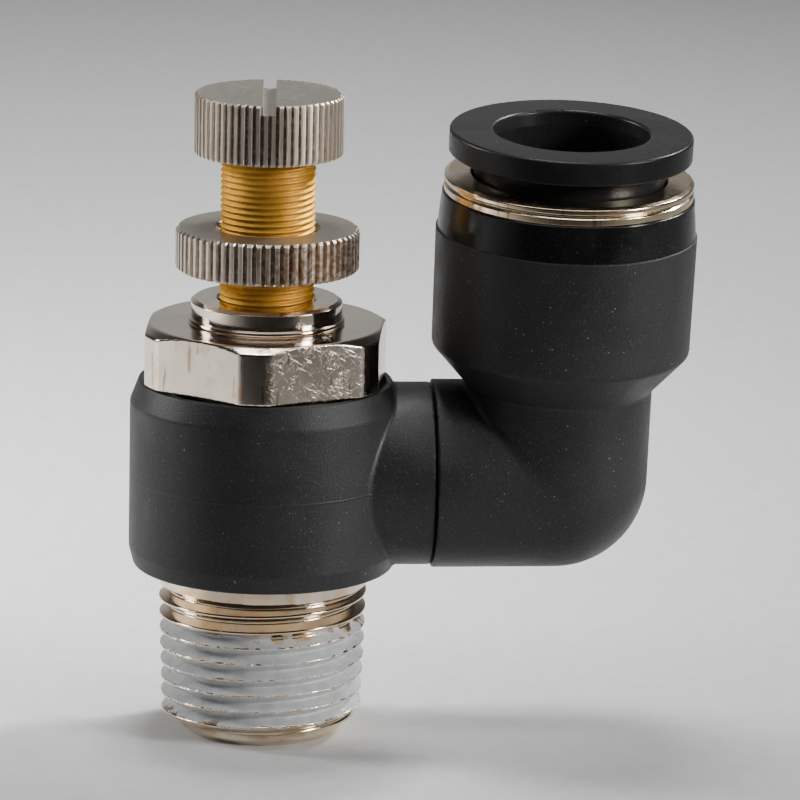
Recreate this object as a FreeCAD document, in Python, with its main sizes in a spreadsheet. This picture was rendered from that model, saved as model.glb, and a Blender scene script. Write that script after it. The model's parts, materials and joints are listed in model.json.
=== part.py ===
import FreeCAD, Part
import os
import re
import Sketcher

# Push-in speed controller: a one-way flow control valve with a swivel elbow, in millimetres.
# Z runs up the axis of the threaded stem, from the end face of its R3/8 thread.
# X runs along the arm of the swivel barrel, towards the elbow.
# Radii are measured from the piece's own axis. Heights are measured from the thread's end face,
# except in the elbow group, whose heights run along the tube's axis from the elbow's centre.

DIMENSIONS = {
    # R3/8 taper thread, drawn as annular ridges at the thread's pitch
    "thread_pitch": 1.337,
    "thread_depth": 0.856,
    "thread_turns": 8,
    "gauge_radius": 8.331,
    "gauge_height": 6.35,
    "taper_run": 32,
    "first_crest": 1.73,
    "crest_land": 0.2,
    "nose_radius": 6.2,
    "pilot_radius": 6.75,
    "pilot_low": 0.5,
    "pilot_high": 0.95,
    # hollow stem
    "neck_height": 12.5,
    "shank_radius": 8.55,
    "port_radius": 5.2,
    "port_depth": 10.8,
    "stem_bore_radius": 6.0,
    "arm_height": 21.35,
    "cross_hole_radius": 2.1,
    "cross_holes": 6,
    "hex_flats": 19.0,
    "hex_low": 29.35,
    "hex_top": 34.05,
    "hex_corner_radius": 10.35,
    "hex_face_radius": 9.5,
    "hex_chamfer": 0.5,
    "hex_turn": 51.8,
    "hex_sides": 6,
    "flat_cut_width": 14.0,
    "flat_cut_reach": 2.0,
    # seals and ring on the shank
    "lower_seal_height": 17.1,
    "upper_seal_height": 26.1,
    "shank_groove_width": 1.5,
    "shank_groove_radius": 7.3,
    "shank_ring_section": 0.6,
    "clip_height": 15.0,
    "clip_thickness": 0.8,
    "clip_inner_radius": 7.95,
    "clip_outer_radius": 9.15,
    "clip_gap": 2.5,
    # needle guide
    "guide_low": 11.0,
    "guide_tube_radius": 5.2,
    "guide_seal_seat": 4.7,
    "guide_seal_height": 14.0,
    "guide_flange_low": 26.5,
    "guide_groove_height": 29.25,
    "guide_groove_width": 1.3,
    "guide_groove_radius": 5.0,
    "guide_ring_section": 0.48,
    "guide_bore_radius": 4.2,
    "guide_thread_low": 31.4,
    "guide_thread_radius": 3.9,
    "countersink": 0.2,
    "window_radius": 2.0,
    "windows": 4,
    "collar_foot_radius": 6.35,
    "collar_foot": 0.4,
    "collar_radius": 6.15,
    "collar_top": 36.0,
    "collar_bevel": 0.35,
    "collar_bevel_height": 0.25,
    # seat and check seal
    "orifice_radius": 2.4,
    "seat_flange_radius": 5.1,
    "seat_low": 10.2,
    "seat_top": 14.0,
    "seat_lead_in": 0.7,
    "lip_radius": 5.95,
    "lip_root_radius": 5.8,
    "lip_thickness": 0.2,
    "lip_slot_low": 5.25,
    "lip_slot_high": 5.45,
    "lip_slot_depth": 12.9,
    "heel_radius": 5.1,
    "seal_play": 0.1,
    # needle and its knob
    "spindle_radius": 3.85,
    "spindle_top": 51.6,
    "piston_radius": 4.1,
    "piston_low": 28.6,
    "piston_top": 30.9,
    "piston_groove_low": 29.0,
    "piston_groove_high": 30.4,
    "piston_groove_radius": 3.15,
    "needle_ring_section": 0.48,
    "needle_radius": 2.6,
    "cone_radius": 2.5,
    "cone_high": 19.3,
    "tip_radius": 0.9,
    "tip_low": 15.5,
    "knob_radius": 6.05,
    "knob_low": 47.9,
    "knob_top": 52.85,
    "knob_chamfer": 0.15,
    "knob_teeth": 60,
    "slot_width": 1.05,
    "slot_depth": 0.75,
    "slot_turn": 86.4,
    # lock nut
    "nut_radius": 7.45,
    "nut_low": 38.45,
    "nut_top": 41.85,
    "nut_chamfer": 0.2,
    "nut_countersink": 0.7,
    "nut_teeth": 62,
    "knurl_depth": 0.22,
    "knurl_width": 0.55,
    # swivel barrel
    "barrel_radius": 11.0,
    "barrel_low": 13.85,
    "barrel_foot_radius": 10.6,
    "barrel_foot_height": 1.5,
    "barrel_shoulder": 27.45,
    "barrel_rim_radius": 10.3,
    "barrel_top": 29.25,
    "rim_wall": 0.55,
    "rim_recess": 0.45,
    "barrel_bore_radius": 8.6,
    "channel_radius": 9.5,
    "channel_half": 2.15,
    "clip_room": 0.1,
    "clip_groove_radius": 9.35,
    "stub_radius": 7.47,
    "stub_end": 13.5,
    "lead_in": 0.3,
    # joint between barrel and elbow
    "joint_radius": 5.4,
    "joint_bore_radius": 3.5,
    "joint_start": 9.0,
    "joint_end": 18.3,
    "joint_clip_place": 15.0,
    "joint_clip_thickness": 0.7,
    "joint_clip_inner": 4.65,
    "joint_clip_outer": 6.0,
    "joint_clip_seat": 4.6,
    "joint_clip_gap": 2.0,
    "joint_groove_place": 17.0,
    "joint_groove_width": 1.4,
    "joint_groove_radius": 4.2,
    "joint_ring_section": 0.56,
    # elbow
    "elbow_reach": 23.7,
    "elbow_lean": 4.1,
    "elbow_tilt": 1.15,
    "elbow_arm": 10.06,
    "elbow_rim_radius": 7.7,
    "elbow_rim_round": 0.15,
    "elbow_radius": 7.65,
    "elbow_socket_radius": 5.45,
    "elbow_socket_depth": 4.75,
    "elbow_clip_radius": 6.15,
    "elbow_flow_radius": 4.4,
    "tube_flow_radius": 5.0,
    "cone_start": 7.8,
    "cone_end": 11.0,
    "sleeve_low_radius": 10.5,
    "sleeve_radius": 10.6,
    "sleeve_top": 20.8,
    "tube_stop": 7.5,
    "socket_radius": 6.1,
    "socket_top": 11.5,
    "cavity_radius": 9.0,
    # push-in head
    "cap_low_radius": 10.52,
    "cap_waist_height": 22.7,
    "cap_waist_radius": 10.48,
    "cap_top_radius": 10.22,
    "cap_top": 23.8,
    "ring_low": 20.0,
    "ring_radius": 10.1,
    "ring_bore_radius": 7.82,
    "ring_top": 25.3,
    "ring_round": 0.15,
    "ring_groove_low": 24.4,
    "ring_groove_high": 24.7,
    "housing_low": 16.2,
    "housing_bore_radius": 8.5,
    "claw_flange": 0.25,
    "claw_flange_radius": 8.9,
    "claw_bend_radius": 7.7,
    "claw_tip_radius": 5.9,
    "claw_tip_low": 14.95,
    "claw_tip_high": 15.15,
    "claw_slot": 0.6,
    "claw_slot_reach": 2.4,
    "claws": 12,
    "spacer_low": 14.2,
    "spacer_radius": 6.2,
    "spacer_lip": 14.7,
    "spacer_shoulder": 7.8,
    "tube_seal_low": 11.6,
    "tube_seal_top": 14.1,
    "tube_seal_radius": 8.95,
    "tube_seal_mouth": 6.4,
    "tube_lip_radius": 5.92,
    "tube_lip_low": 12.5,
    "tube_lip_high": 13.2,
    # release ring
    "release_bore_radius": 6.2,
    "release_low": 17.7,
    "release_nose_radius": 7.0,
    "release_skirt_radius": 7.4,
    "release_skirt_height": 18.4,
    "release_bead_radius": 8.1,
    "release_bead_low": 18.9,
    "release_bead_high": 19.5,
    "release_neck_radius": 7.75,
    "release_flange_low": 27.0,
    "release_flange_radius": 9.85,
    "release_top": 29.0,
    "release_round": 0.15,
    "release_mouth_radius": 6.6,
    "release_mouth_depth": 0.5,
}

doc = FreeCAD.newDocument("SpeedController")
sheet = doc.addObject("Spreadsheet::Sheet", "Sizes")
for row, (alias, number) in enumerate(DIMENSIONS.items(), start=1):
    sheet.set(f"A{row}", alias)
    sheet.set(f"B{row}", str(number))
    sheet.setAlias(f"B{row}", alias)
doc.recompute()


def bound(expression):
    """Point each size's name in an expression at its cell in the sheet."""
    return re.sub(r"[a-z_]+\b(?!\()", lambda name: f"{sheet.Name}.{name.group()}", expression)


def bind(thing, prop, expression):
    thing.setExpression(prop, bound(expression))


def new_body(name):
    body = doc.addObject("PartDesign::Body", name)
    body.Label = name
    return body


def new_sketch(body, name, plane="XZ_Plane", offset=("0", "0", "0"), turn="0"):
    """Lay a sketch on one of the body's own planes, moved and turned by expressions."""
    sketch = body.newObject("Sketcher::SketchObject", name)
    support = [feature for feature in body.Origin.OriginFeatures if feature.Role == plane]
    sketch.AttachmentSupport = [(support[0], "")]
    sketch.MapMode = "FlatFace"
    for axis, distance in zip("xyz", offset):
        bind(sketch, f"AttachmentOffset.Base.{axis}", distance)
    bind(sketch, "AttachmentOffset.Rotation.Angle", turn)
    return sketch


def place_point(sketch, side, across, up):
    """Hold the start of a side at two expressions, each zero or more."""
    start = sketch.getPoint(side, 1)
    for kind, expression, axis, value in (
        ("DistanceX", across, -2, start.x),
        ("DistanceY", up, -1, start.y),
    ):
        if expression == "0":
            sketch.addConstraint(Sketcher.Constraint("PointOnObject", side, 1, axis))
        else:
            index = sketch.addConstraint(Sketcher.Constraint(kind, -1, 1, side, 1, value))
            bind(sketch, f"Constraints[{index}]", expression)


def draw_outline(sketch, corners):
    """Draw a closed outline through corners given as pairs of expressions."""
    count = len(corners)
    starts = [FreeCAD.Vector(1 + corner, 1 + corner, 0) for corner in range(count)]
    for side in range(count):
        sketch.addGeometry(Part.LineSegment(starts[side], starts[(side + 1) % count]), False)
    for side in range(count):
        sketch.addConstraint(Sketcher.Constraint("Coincident", side, 2, (side + 1) % count, 1))
    for side, (across, up) in enumerate(corners):
        place_point(sketch, side, across, up)


def turned(body, name, corners, about="V_Axis", cut=False, offset=("0", "0", "0"), turn="0"):
    """Turn an outline about the sketch's upright (V) or level (H) axis, to add or to cut."""
    sketch = new_sketch(body, f"{name}_outline", offset=offset, turn=turn)
    draw_outline(sketch, corners)
    feature = body.newObject("PartDesign::Groove" if cut else "PartDesign::Revolution", name)
    feature.Profile = sketch
    feature.ReferenceAxis = (sketch, [about])
    feature.Angle = 360
    body.Tip = feature
    return feature


def pocket_outline(body, name, corners, offset=("0", "0", "0"), turn="0", depth=None):
    """Cut an outline on the level plane: down by a depth, or right through both ways."""
    sketch = new_sketch(body, f"{name}_outline", "XY_Plane", offset, turn)
    draw_outline(sketch, corners)
    feature = body.newObject("PartDesign::Pocket", name)
    feature.Profile = sketch
    if depth is None:
        feature.Type = "ThroughAll"
        feature.SideType = "Symmetric"
    else:
        bind(feature, "Length", depth)
    body.Tip = feature
    return feature


def radial_hole(body, name, height, radius, length):
    """Drill a round hole outwards from the axis, along X."""
    sketch = new_sketch(body, f"{name}_outline", "YZ_Plane")
    circle = sketch.addGeometry(Part.Circle(FreeCAD.Vector(0, 1, 0), FreeCAD.Vector(0, 0, 1), 1), False)
    sketch.addConstraint(Sketcher.Constraint("PointOnObject", circle, 3, -2))
    lift = sketch.addConstraint(Sketcher.Constraint("DistanceY", -1, 1, circle, 3, 1))
    bind(sketch, f"Constraints[{lift}]", height)
    size = sketch.addConstraint(Sketcher.Constraint("Radius", circle, 1))
    bind(sketch, f"Constraints[{size}]", radius)
    feature = body.newObject("PartDesign::Pocket", name)
    feature.Profile = sketch
    feature.Reversed = True
    bind(feature, "Length", length)
    body.Tip = feature
    return feature


def around_axis(body, feature, count):
    """Repeat a feature evenly about the body's own Z axis."""
    pattern = body.newObject("PartDesign::PolarPattern", f"{feature.Name}_pattern")
    axis = [item for item in body.Origin.OriginFeatures if item.Role == "Z_Axis"]
    pattern.Originals = [feature]
    pattern.Axis = (axis[0], [""])
    pattern.Angle = 360
    bind(pattern, "Occurrences", count)
    body.Tip = pattern
    return pattern


def knurl(body, name, radius, teeth):
    """Cut straight V-grooves through the length of a round piece."""
    corners = [
        (f"{radius} - knurl_depth", "knurl_width / 2"),
        (f"{radius} + knurl_depth", "0"),
        (f"{radius} + knurl_depth", "knurl_width"),
    ]
    around_axis(body, pocket_outline(body, f"{name}_knurl", corners), teeth)


def ring_gap(body, name, gap, reach):
    """Open a C-ring by cutting a slot out to a reach along X."""
    corners = [("0", "0"), (reach, "0"), (reach, gap), ("0", gap)]
    pocket_outline(body, f"{name}_gap", corners)


def seal_ring(name, middle_radius, section_radius, height):
    """Make an O-ring about Z at a height."""
    ring = doc.addObject("Part::Torus", name)
    ring.Label = name
    bind(ring, "Radius1", middle_radius)
    bind(ring, "Radius2", section_radius)
    bind(ring, "Placement.Base.z", height)
    return ring


def on_arm(piece, along):
    """Turn a piece made about Z so that its axis is the arm's, and slide it along the arm."""
    piece.Placement = FreeCAD.Placement(FreeCAD.Vector(), FreeCAD.Rotation(FreeCAD.Vector(0, 1, 0), 90))
    bind(piece, "Placement.Base.x", along)
    bind(piece, "Placement.Base.z", "arm_height")


def on_elbow(body):
    """Put a body drawn about the elbow's centre in its place.

    The elbow is swivelled about the arm by its lean, and its tube axis is moulded out of square by its tilt.
    """
    turn = "rotationx(elbow_lean) * rotationy(elbow_tilt)"
    bind(body, "Placement", f"placement(vector(elbow_reach; 0; arm_height); {turn})")


def thread_ridges():
    """Outline corners of the taper thread's ridges, from the end face upwards."""
    corners = []
    for turn in range(DIMENSIONS["thread_turns"]):
        middle = f"first_crest + {turn} * thread_pitch"
        crest = f"gauge_radius + ({middle} - gauge_height) / taper_run"
        corners.append((f"{crest} - thread_depth", f"{middle} - thread_pitch / 2"))
        corners.append((crest, f"{middle} - crest_land / 2"))
        corners.append((crest, f"{middle} + crest_land / 2"))
    last = f"first_crest + {DIMENSIONS['thread_turns']} * thread_pitch"
    root = f"gauge_radius + ({last} - gauge_height) / taper_run - thread_depth"
    corners.append((root, f"{last} - thread_pitch / 2"))
    return corners


def notch(radius, depth_radius, middle, width):
    """Outline corners of a square groove in an outside wall, from its lower edge upwards."""
    low = f"{middle} - {width} / 2"
    high = f"{middle} + {width} / 2"
    return [(radius, low), (depth_radius, low), (depth_radius, high), (radius, high)]


def make_threaded_stem():
    body = new_body("threaded_stem")
    corners = [
        ("port_radius", "0"),
        ("nose_radius", "0"),
        ("pilot_radius", "pilot_low"),
        ("pilot_radius", "pilot_high"),
        *thread_ridges(),
        ("shank_radius", "neck_height"),
        *notch("shank_radius", "clip_inner_radius", "clip_height", "clip_thickness"),
        *notch("shank_radius", "shank_groove_radius", "lower_seal_height", "shank_groove_width"),
        *notch("shank_radius", "shank_groove_radius", "upper_seal_height", "shank_groove_width"),
        ("shank_radius", "hex_low"),
        ("hex_corner_radius", "hex_low"),
        ("hex_corner_radius", "hex_top - hex_chamfer"),
        ("hex_face_radius", "hex_top"),
        ("stem_bore_radius", "hex_top"),
        ("stem_bore_radius", "port_depth"),
        ("port_radius", "port_depth"),
    ]
    turned(body, "stem_turning", corners)
    flat = [
        ("hex_flats / 2", "0"),
        ("hex_flats / 2 + flat_cut_reach", "0"),
        ("hex_flats / 2 + flat_cut_reach", "flat_cut_width"),
        ("hex_flats / 2", "flat_cut_width"),
    ]
    turn = "hex_turn"
    offset = (
        "flat_cut_width / 2 * sin(hex_turn)",
        "-flat_cut_width / 2 * cos(hex_turn)",
        "hex_top",
    )
    cut = pocket_outline(body, "hex_flat", flat, offset, turn, "hex_top - hex_low")
    around_axis(body, cut, "hex_sides")
    hole = radial_hole(body, "cross_hole", "arm_height", "cross_hole_radius", "barrel_radius")
    around_axis(body, hole, "cross_holes")


def make_needle_guide():
    body = new_body("needle_guide")
    corners = [
        ("guide_bore_radius", "guide_low"),
        ("guide_seal_seat", "guide_low"),
        ("guide_seal_seat", "guide_seal_height"),
        ("guide_tube_radius", "guide_seal_height"),
        ("guide_tube_radius", "guide_flange_low"),
        ("stem_bore_radius", "guide_flange_low"),
        *notch("stem_bore_radius", "guide_groove_radius", "guide_groove_height", "guide_groove_width"),
        ("stem_bore_radius", "hex_top"),
        ("collar_foot_radius", "hex_top"),
        ("collar_foot_radius", "hex_top + collar_foot"),
        ("collar_radius", "hex_top + collar_foot"),
        ("collar_radius", "collar_top - collar_bevel_height"),
        ("collar_radius - collar_bevel", "collar_top"),
        ("guide_thread_radius + countersink", "collar_top"),
        ("guide_thread_radius", "collar_top - countersink"),
        ("guide_thread_radius", "guide_thread_low"),
        ("guide_bore_radius", "guide_thread_low"),
    ]
    turned(body, "guide_turning", corners)
    hole = radial_hole(body, "guide_window", "arm_height", "window_radius", "stem_bore_radius")
    around_axis(body, hole, "windows")


def make_valve_seat():
    corners = [
        ("orifice_radius + seat_lead_in", "seat_low"),
        ("seat_flange_radius", "seat_low"),
        ("seat_flange_radius", "guide_low"),
        ("guide_bore_radius", "guide_low"),
        ("guide_bore_radius", "seat_top"),
        ("orifice_radius", "seat_top"),
        ("orifice_radius", "seat_low + seat_lead_in"),
    ]
    turned(new_body("valve_seat"), "seat_turning", corners)


def make_check_seal():
    corners = [
        ("guide_seal_seat", "guide_low + seal_play"),
        ("heel_radius", "guide_low + seal_play"),
        ("lip_slot_low", "lip_slot_depth"),
        ("lip_slot_high", "lip_slot_depth"),
        ("lip_radius - lip_thickness", "guide_low + seal_play"),
        ("lip_radius", "guide_low + seal_play"),
        ("lip_root_radius", "guide_seal_height"),
        ("guide_seal_seat", "guide_seal_height"),
    ]
    turned(new_body("check_seal"), "check_seal_turning", corners)


def make_shank_seals():
    middle = "shank_groove_radius + shank_ring_section"
    seal_ring("upper_stem_oring", middle, "shank_ring_section", "upper_seal_height")
    seal_ring("lower_stem_oring", middle, "shank_ring_section", "lower_seal_height")
    middle = "guide_groove_radius + guide_ring_section"
    seal_ring("guide_oring", middle, "guide_ring_section", "guide_groove_height")


def make_stem_clip():
    body = new_body("stem_retaining_ring")
    corners = [
        ("clip_inner_radius", "clip_height - clip_thickness / 2"),
        ("clip_outer_radius", "clip_height - clip_thickness / 2"),
        ("clip_outer_radius", "clip_height + clip_thickness / 2"),
        ("clip_inner_radius", "clip_height + clip_thickness / 2"),
    ]
    turned(body, "stem_clip_turning", corners)
    ring_gap(body, "stem_clip", "clip_gap", "barrel_radius")


def make_swivel_barrel():
    body = new_body("swivel_barrel")
    shell = [
        ("0", "barrel_low"),
        ("barrel_foot_radius", "barrel_low"),
        ("barrel_radius", "barrel_low + barrel_foot_height"),
        ("barrel_radius", "barrel_shoulder"),
        ("barrel_rim_radius", "barrel_top"),
        ("0", "barrel_top"),
    ]
    turned(body, "barrel_shell", shell)
    arm_line = ("0", "arm_height", "0")
    stub = [("0", "0"), ("0", "stub_radius"), ("stub_end", "stub_radius"), ("stub_end", "0")]
    turned(body, "arm_stub", stub, "H_Axis", offset=arm_line)
    bore = [
        ("0", "barrel_low"),
        ("barrel_bore_radius + lead_in", "barrel_low"),
        ("barrel_bore_radius", "barrel_low + lead_in"),
        ("barrel_bore_radius", "clip_height - clip_thickness / 2 - clip_room"),
        ("clip_groove_radius", "clip_height - clip_thickness / 2 - clip_room"),
        ("clip_groove_radius", "clip_height + clip_thickness / 2 + clip_room"),
        ("barrel_bore_radius", "clip_height + clip_thickness / 2 + clip_room"),
        ("barrel_bore_radius", "arm_height - channel_half"),
        ("channel_radius", "arm_height - channel_half"),
        ("channel_radius", "arm_height + channel_half"),
        ("barrel_bore_radius", "arm_height + channel_half"),
        ("barrel_bore_radius", "barrel_top - rim_recess"),
        ("barrel_rim_radius - rim_wall", "barrel_top - rim_recess"),
        ("barrel_rim_radius - rim_wall", "barrel_top"),
        ("0", "barrel_top"),
    ]
    turned(body, "barrel_bore", bore, cut=True)
    passage = [("0", "0"), ("0", "joint_radius"), ("stub_end", "joint_radius"), ("stub_end", "0")]
    turned(body, "arm_bore", passage, "H_Axis", cut=True, offset=arm_line)


def make_joint_sleeve():
    body = new_body("joint_sleeve")
    corners = [
        ("joint_bore_radius", "joint_start"),
        ("joint_radius", "joint_start"),
        *notch("joint_radius", "joint_clip_seat", "joint_clip_place", "joint_clip_thickness"),
        *notch("joint_radius", "joint_groove_radius", "joint_groove_place", "joint_groove_width"),
        ("joint_radius", "joint_end - lead_in"),
        ("joint_radius - lead_in", "joint_end"),
        ("joint_bore_radius", "joint_end"),
    ]
    turned(body, "joint_turning", corners)
    on_arm(body, "0")


def make_joint_rings():
    middle = "joint_groove_radius + joint_ring_section"
    ring = seal_ring("joint_oring", middle, "joint_ring_section", "0")
    on_arm(ring, "joint_groove_place")
    body = new_body("joint_retaining_ring")
    corners = [
        ("joint_clip_inner", "0"),
        ("joint_clip_outer", "0"),
        ("joint_clip_outer", "joint_clip_thickness"),
        ("joint_clip_inner", "joint_clip_thickness"),
    ]
    turned(body, "joint_clip_turning", corners)
    ring_gap(body, "joint_clip", "joint_clip_gap", "elbow_radius")
    on_arm(body, "joint_clip_place - joint_clip_thickness / 2")


def make_elbow():
    body = new_body("elbow")
    arm_start = ("-elbow_arm * cos(elbow_tilt)", "-elbow_arm * sin(elbow_tilt)", "0")
    arm = [
        ("0", "0"),
        ("0", "elbow_rim_radius - elbow_rim_round"),
        ("elbow_rim_round", "elbow_rim_radius"),
        ("elbow_arm", "elbow_radius"),
        ("elbow_arm", "0"),
    ]
    turned(body, "elbow_arm_shell", arm, "H_Axis", offset=arm_start, turn="elbow_tilt")
    corner = body.newObject("PartDesign::AdditiveSphere", "elbow_corner")
    bind(corner, "Radius", "elbow_radius")
    head = [
        ("0", "0"),
        ("elbow_radius", "0"),
        ("elbow_radius", "cone_start"),
        ("sleeve_low_radius", "cone_end"),
        ("sleeve_radius", "sleeve_top"),
        ("0", "sleeve_top"),
    ]
    turned(body, "elbow_head_shell", head)
    socket = [
        ("0", "0"),
        ("0", "elbow_socket_radius"),
        ("joint_clip_place - stub_end - joint_clip_thickness", "elbow_socket_radius"),
        ("joint_clip_place - stub_end - joint_clip_thickness", "elbow_clip_radius"),
        ("joint_clip_place - stub_end + joint_clip_thickness / 2", "elbow_clip_radius"),
        ("joint_clip_place - stub_end + joint_clip_thickness / 2", "elbow_socket_radius"),
        ("elbow_socket_depth", "elbow_socket_radius"),
        ("elbow_socket_depth", "elbow_flow_radius"),
        ("elbow_arm", "elbow_flow_radius"),
        ("elbow_arm", "0"),
    ]
    turned(body, "elbow_socket", socket, "H_Axis", cut=True, offset=arm_start, turn="elbow_tilt")
    bend = body.newObject("PartDesign::SubtractiveSphere", "flow_bend")
    bind(bend, "Radius", "tube_flow_radius")
    bore = [
        ("0", "0"),
        ("tube_flow_radius", "0"),
        ("tube_flow_radius", "tube_stop"),
        ("socket_radius", "tube_stop"),
        ("socket_radius", "socket_top"),
        ("cavity_radius", "socket_top"),
        ("cavity_radius", "sleeve_top"),
        ("0", "sleeve_top"),
    ]
    turned(body, "head_bore", bore, cut=True)
    on_elbow(body)


def make_head_cap():
    body = new_body("head_cap")
    corners = [
        ("cavity_radius", "sleeve_top"),
        ("cap_low_radius", "sleeve_top"),
        ("cap_waist_radius", "cap_waist_height"),
        ("cap_top_radius", "cap_top"),
        ("cavity_radius", "cap_top"),
    ]
    turned(body, "cap_turning", corners)
    on_elbow(body)


def make_guide_ring():
    body = new_body("guide_ring")
    corners = [
        ("ring_bore_radius", "ring_low"),
        ("cavity_radius", "ring_low"),
        ("cavity_radius", "cap_top"),
        ("ring_radius - ring_round", "cap_top"),
        ("ring_radius", "cap_top + ring_round"),
        ("ring_radius", "ring_groove_low"),
        ("ring_radius - ring_round", "ring_groove_low"),
        ("ring_radius - ring_round", "ring_groove_high"),
        ("ring_radius", "ring_groove_high"),
        ("ring_radius", "ring_top - ring_round"),
        ("ring_radius - ring_round", "ring_top"),
        ("ring_bore_radius", "ring_top"),
    ]
    turned(body, "guide_ring_turning", corners)
    on_elbow(body)


def make_collet_housing():
    body = new_body("collet_housing")
    corners = [
        ("housing_bore_radius", "housing_low"),
        ("cavity_radius", "housing_low"),
        ("cavity_radius", "ring_low"),
        ("housing_bore_radius", "ring_low"),
    ]
    turned(body, "housing_turning", corners)
    on_elbow(body)


def make_lock_claws():
    body = new_body("lock_claws")
    corners = [
        ("claw_flange_radius", "housing_low - claw_flange"),
        ("claw_flange_radius", "housing_low"),
        ("claw_bend_radius", "housing_low"),
        ("claw_tip_radius", "claw_tip_high"),
        ("claw_tip_radius", "claw_tip_low"),
        ("claw_bend_radius", "housing_low - claw_flange"),
    ]
    turned(body, "claw_turning", corners)
    slot = [
        ("claw_tip_radius - claw_slot", "0"),
        ("claw_tip_radius - claw_slot + claw_slot_reach", "0"),
        ("claw_tip_radius - claw_slot + claw_slot_reach", "claw_slot"),
        ("claw_tip_radius - claw_slot", "claw_slot"),
    ]
    around_axis(body, pocket_outline(body, "claw_slot", slot), "claws")
    on_elbow(body)


def make_seal_spacer():
    body = new_body("seal_spacer")
    corners = [
        ("spacer_radius", "spacer_low"),
        ("cavity_radius", "spacer_low"),
        ("cavity_radius", "housing_low - claw_flange"),
        ("spacer_shoulder", "housing_low - claw_flange"),
        ("spacer_radius", "spacer_lip"),
    ]
    turned(body, "spacer_turning", corners)
    on_elbow(body)


def make_tube_seal():
    body = new_body("tube_seal")
    corners = [
        ("tube_seal_mouth", "tube_seal_low"),
        ("tube_seal_radius", "tube_seal_low"),
        ("tube_seal_radius", "tube_seal_top"),
        ("tube_seal_mouth", "tube_seal_top"),
        ("tube_lip_radius", "tube_lip_high"),
        ("tube_lip_radius", "tube_lip_low"),
    ]
    turned(body, "tube_seal_turning", corners)
    on_elbow(body)


def make_release_ring():
    body = new_body("release_ring")
    corners = [
        ("release_bore_radius", "release_low"),
        ("release_nose_radius", "release_low"),
        ("release_skirt_radius", "release_skirt_height"),
        ("release_bead_radius", "release_bead_low"),
        ("release_bead_radius", "release_bead_high"),
        ("release_neck_radius", "release_bead_high + release_round"),
        ("release_neck_radius", "release_flange_low"),
        ("release_flange_radius - release_round", "release_flange_low"),
        ("release_flange_radius", "release_flange_low + release_round"),
        ("release_flange_radius", "release_top - release_round"),
        ("release_flange_radius - release_round", "release_top"),
        ("release_mouth_radius", "release_top"),
        ("release_bore_radius", "release_top - release_mouth_depth"),
    ]
    turned(body, "release_turning", corners)
    on_elbow(body)


def make_needle_spindle():
    corners = [
        ("0", "tip_low"),
        ("tip_radius", "tip_low"),
        ("cone_radius", "cone_high"),
        ("needle_radius", "cone_high"),
        ("needle_radius", "piston_low"),
        ("piston_radius", "piston_low"),
        ("piston_radius", "piston_groove_low"),
        ("piston_groove_radius", "piston_groove_low"),
        ("piston_groove_radius", "piston_groove_high"),
        ("piston_radius", "piston_groove_high"),
        ("piston_radius", "piston_top"),
        ("spindle_radius", "piston_top"),
        ("spindle_radius", "spindle_top"),
        ("0", "spindle_top"),
    ]
    turned(new_body("needle_spindle"), "spindle_turning", corners)
    middle = "(piston_groove_low + piston_groove_high) / 2"
    seal_ring("needle_oring", "piston_groove_radius + needle_ring_section", "needle_ring_section", middle)


def make_adjusting_knob():
    body = new_body("adjusting_knob")
    corners = [
        ("spindle_radius", "knob_low"),
        ("knob_radius - knob_chamfer", "knob_low"),
        ("knob_radius", "knob_low + knob_chamfer"),
        ("knob_radius", "knob_top - knob_chamfer"),
        ("knob_radius - knob_chamfer", "knob_top"),
        ("0", "knob_top"),
        ("0", "spindle_top"),
        ("spindle_radius", "spindle_top"),
    ]
    turned(body, "knob_turning", corners)
    knurl(body, "knob", "knob_radius", "knob_teeth")
    slot = [
        ("0", "0"),
        ("2 * knob_radius + 2 * slot_width", "0"),
        ("2 * knob_radius + 2 * slot_width", "slot_width"),
        ("0", "slot_width"),
    ]
    offset = (
        "-(knob_radius + slot_width) * cos(slot_turn) + slot_width / 2 * sin(slot_turn)",
        "-(knob_radius + slot_width) * sin(slot_turn) - slot_width / 2 * cos(slot_turn)",
        "knob_top",
    )
    pocket_outline(body, "knob_slot", slot, offset, "slot_turn", "slot_depth")


def make_lock_nut():
    body = new_body("lock_nut")
    corners = [
        ("guide_thread_radius", "nut_low"),
        ("nut_radius - nut_chamfer", "nut_low"),
        ("nut_radius", "nut_low + nut_chamfer"),
        ("nut_radius", "nut_top - nut_chamfer"),
        ("nut_radius - nut_chamfer", "nut_top"),
        ("guide_thread_radius + nut_countersink", "nut_top"),
        ("guide_thread_radius", "nut_top - nut_countersink"),
    ]
    turned(body, "nut_turning", corners)
    knurl(body, "nut", "nut_radius", "nut_teeth")


def sub_parts():
    """Every finished piece: the bodies and the ring primitives."""
    return [item for item in doc.Objects if item.TypeId in ("PartDesign::Body", "Part::Torus")]


def check_model():
    """Stop on a failed feature, a broken shape, or a cut that removed nothing."""
    for item in doc.Objects:
        if {"Invalid", "Error"} & set(item.State):
            raise RuntimeError(f"{item.Label} did not compute: {item.State}")
        if item.TypeId in ("PartDesign::Pocket", "PartDesign::Groove"):
            if item.Shape.Volume >= item.BaseFeature.Shape.Volume:
                raise RuntimeError(f"{item.Label} cut nothing")
    for piece in sub_parts():
        if piece.Shape.isNull() or not piece.Shape.isValid():
            raise RuntimeError(f"{piece.Label} has no valid shape")


for make in (
    make_threaded_stem,
    make_needle_guide,
    make_valve_seat,
    make_check_seal,
    make_shank_seals,
    make_stem_clip,
    make_swivel_barrel,
    make_joint_sleeve,
    make_joint_rings,
    make_elbow,
    make_head_cap,
    make_guide_ring,
    make_collet_housing,
    make_lock_claws,
    make_seal_spacer,
    make_tube_seal,
    make_release_ring,
    make_needle_spindle,
    make_adjusting_knob,
    make_lock_nut,
):
    make()
doc.recompute()
check_model()

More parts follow.
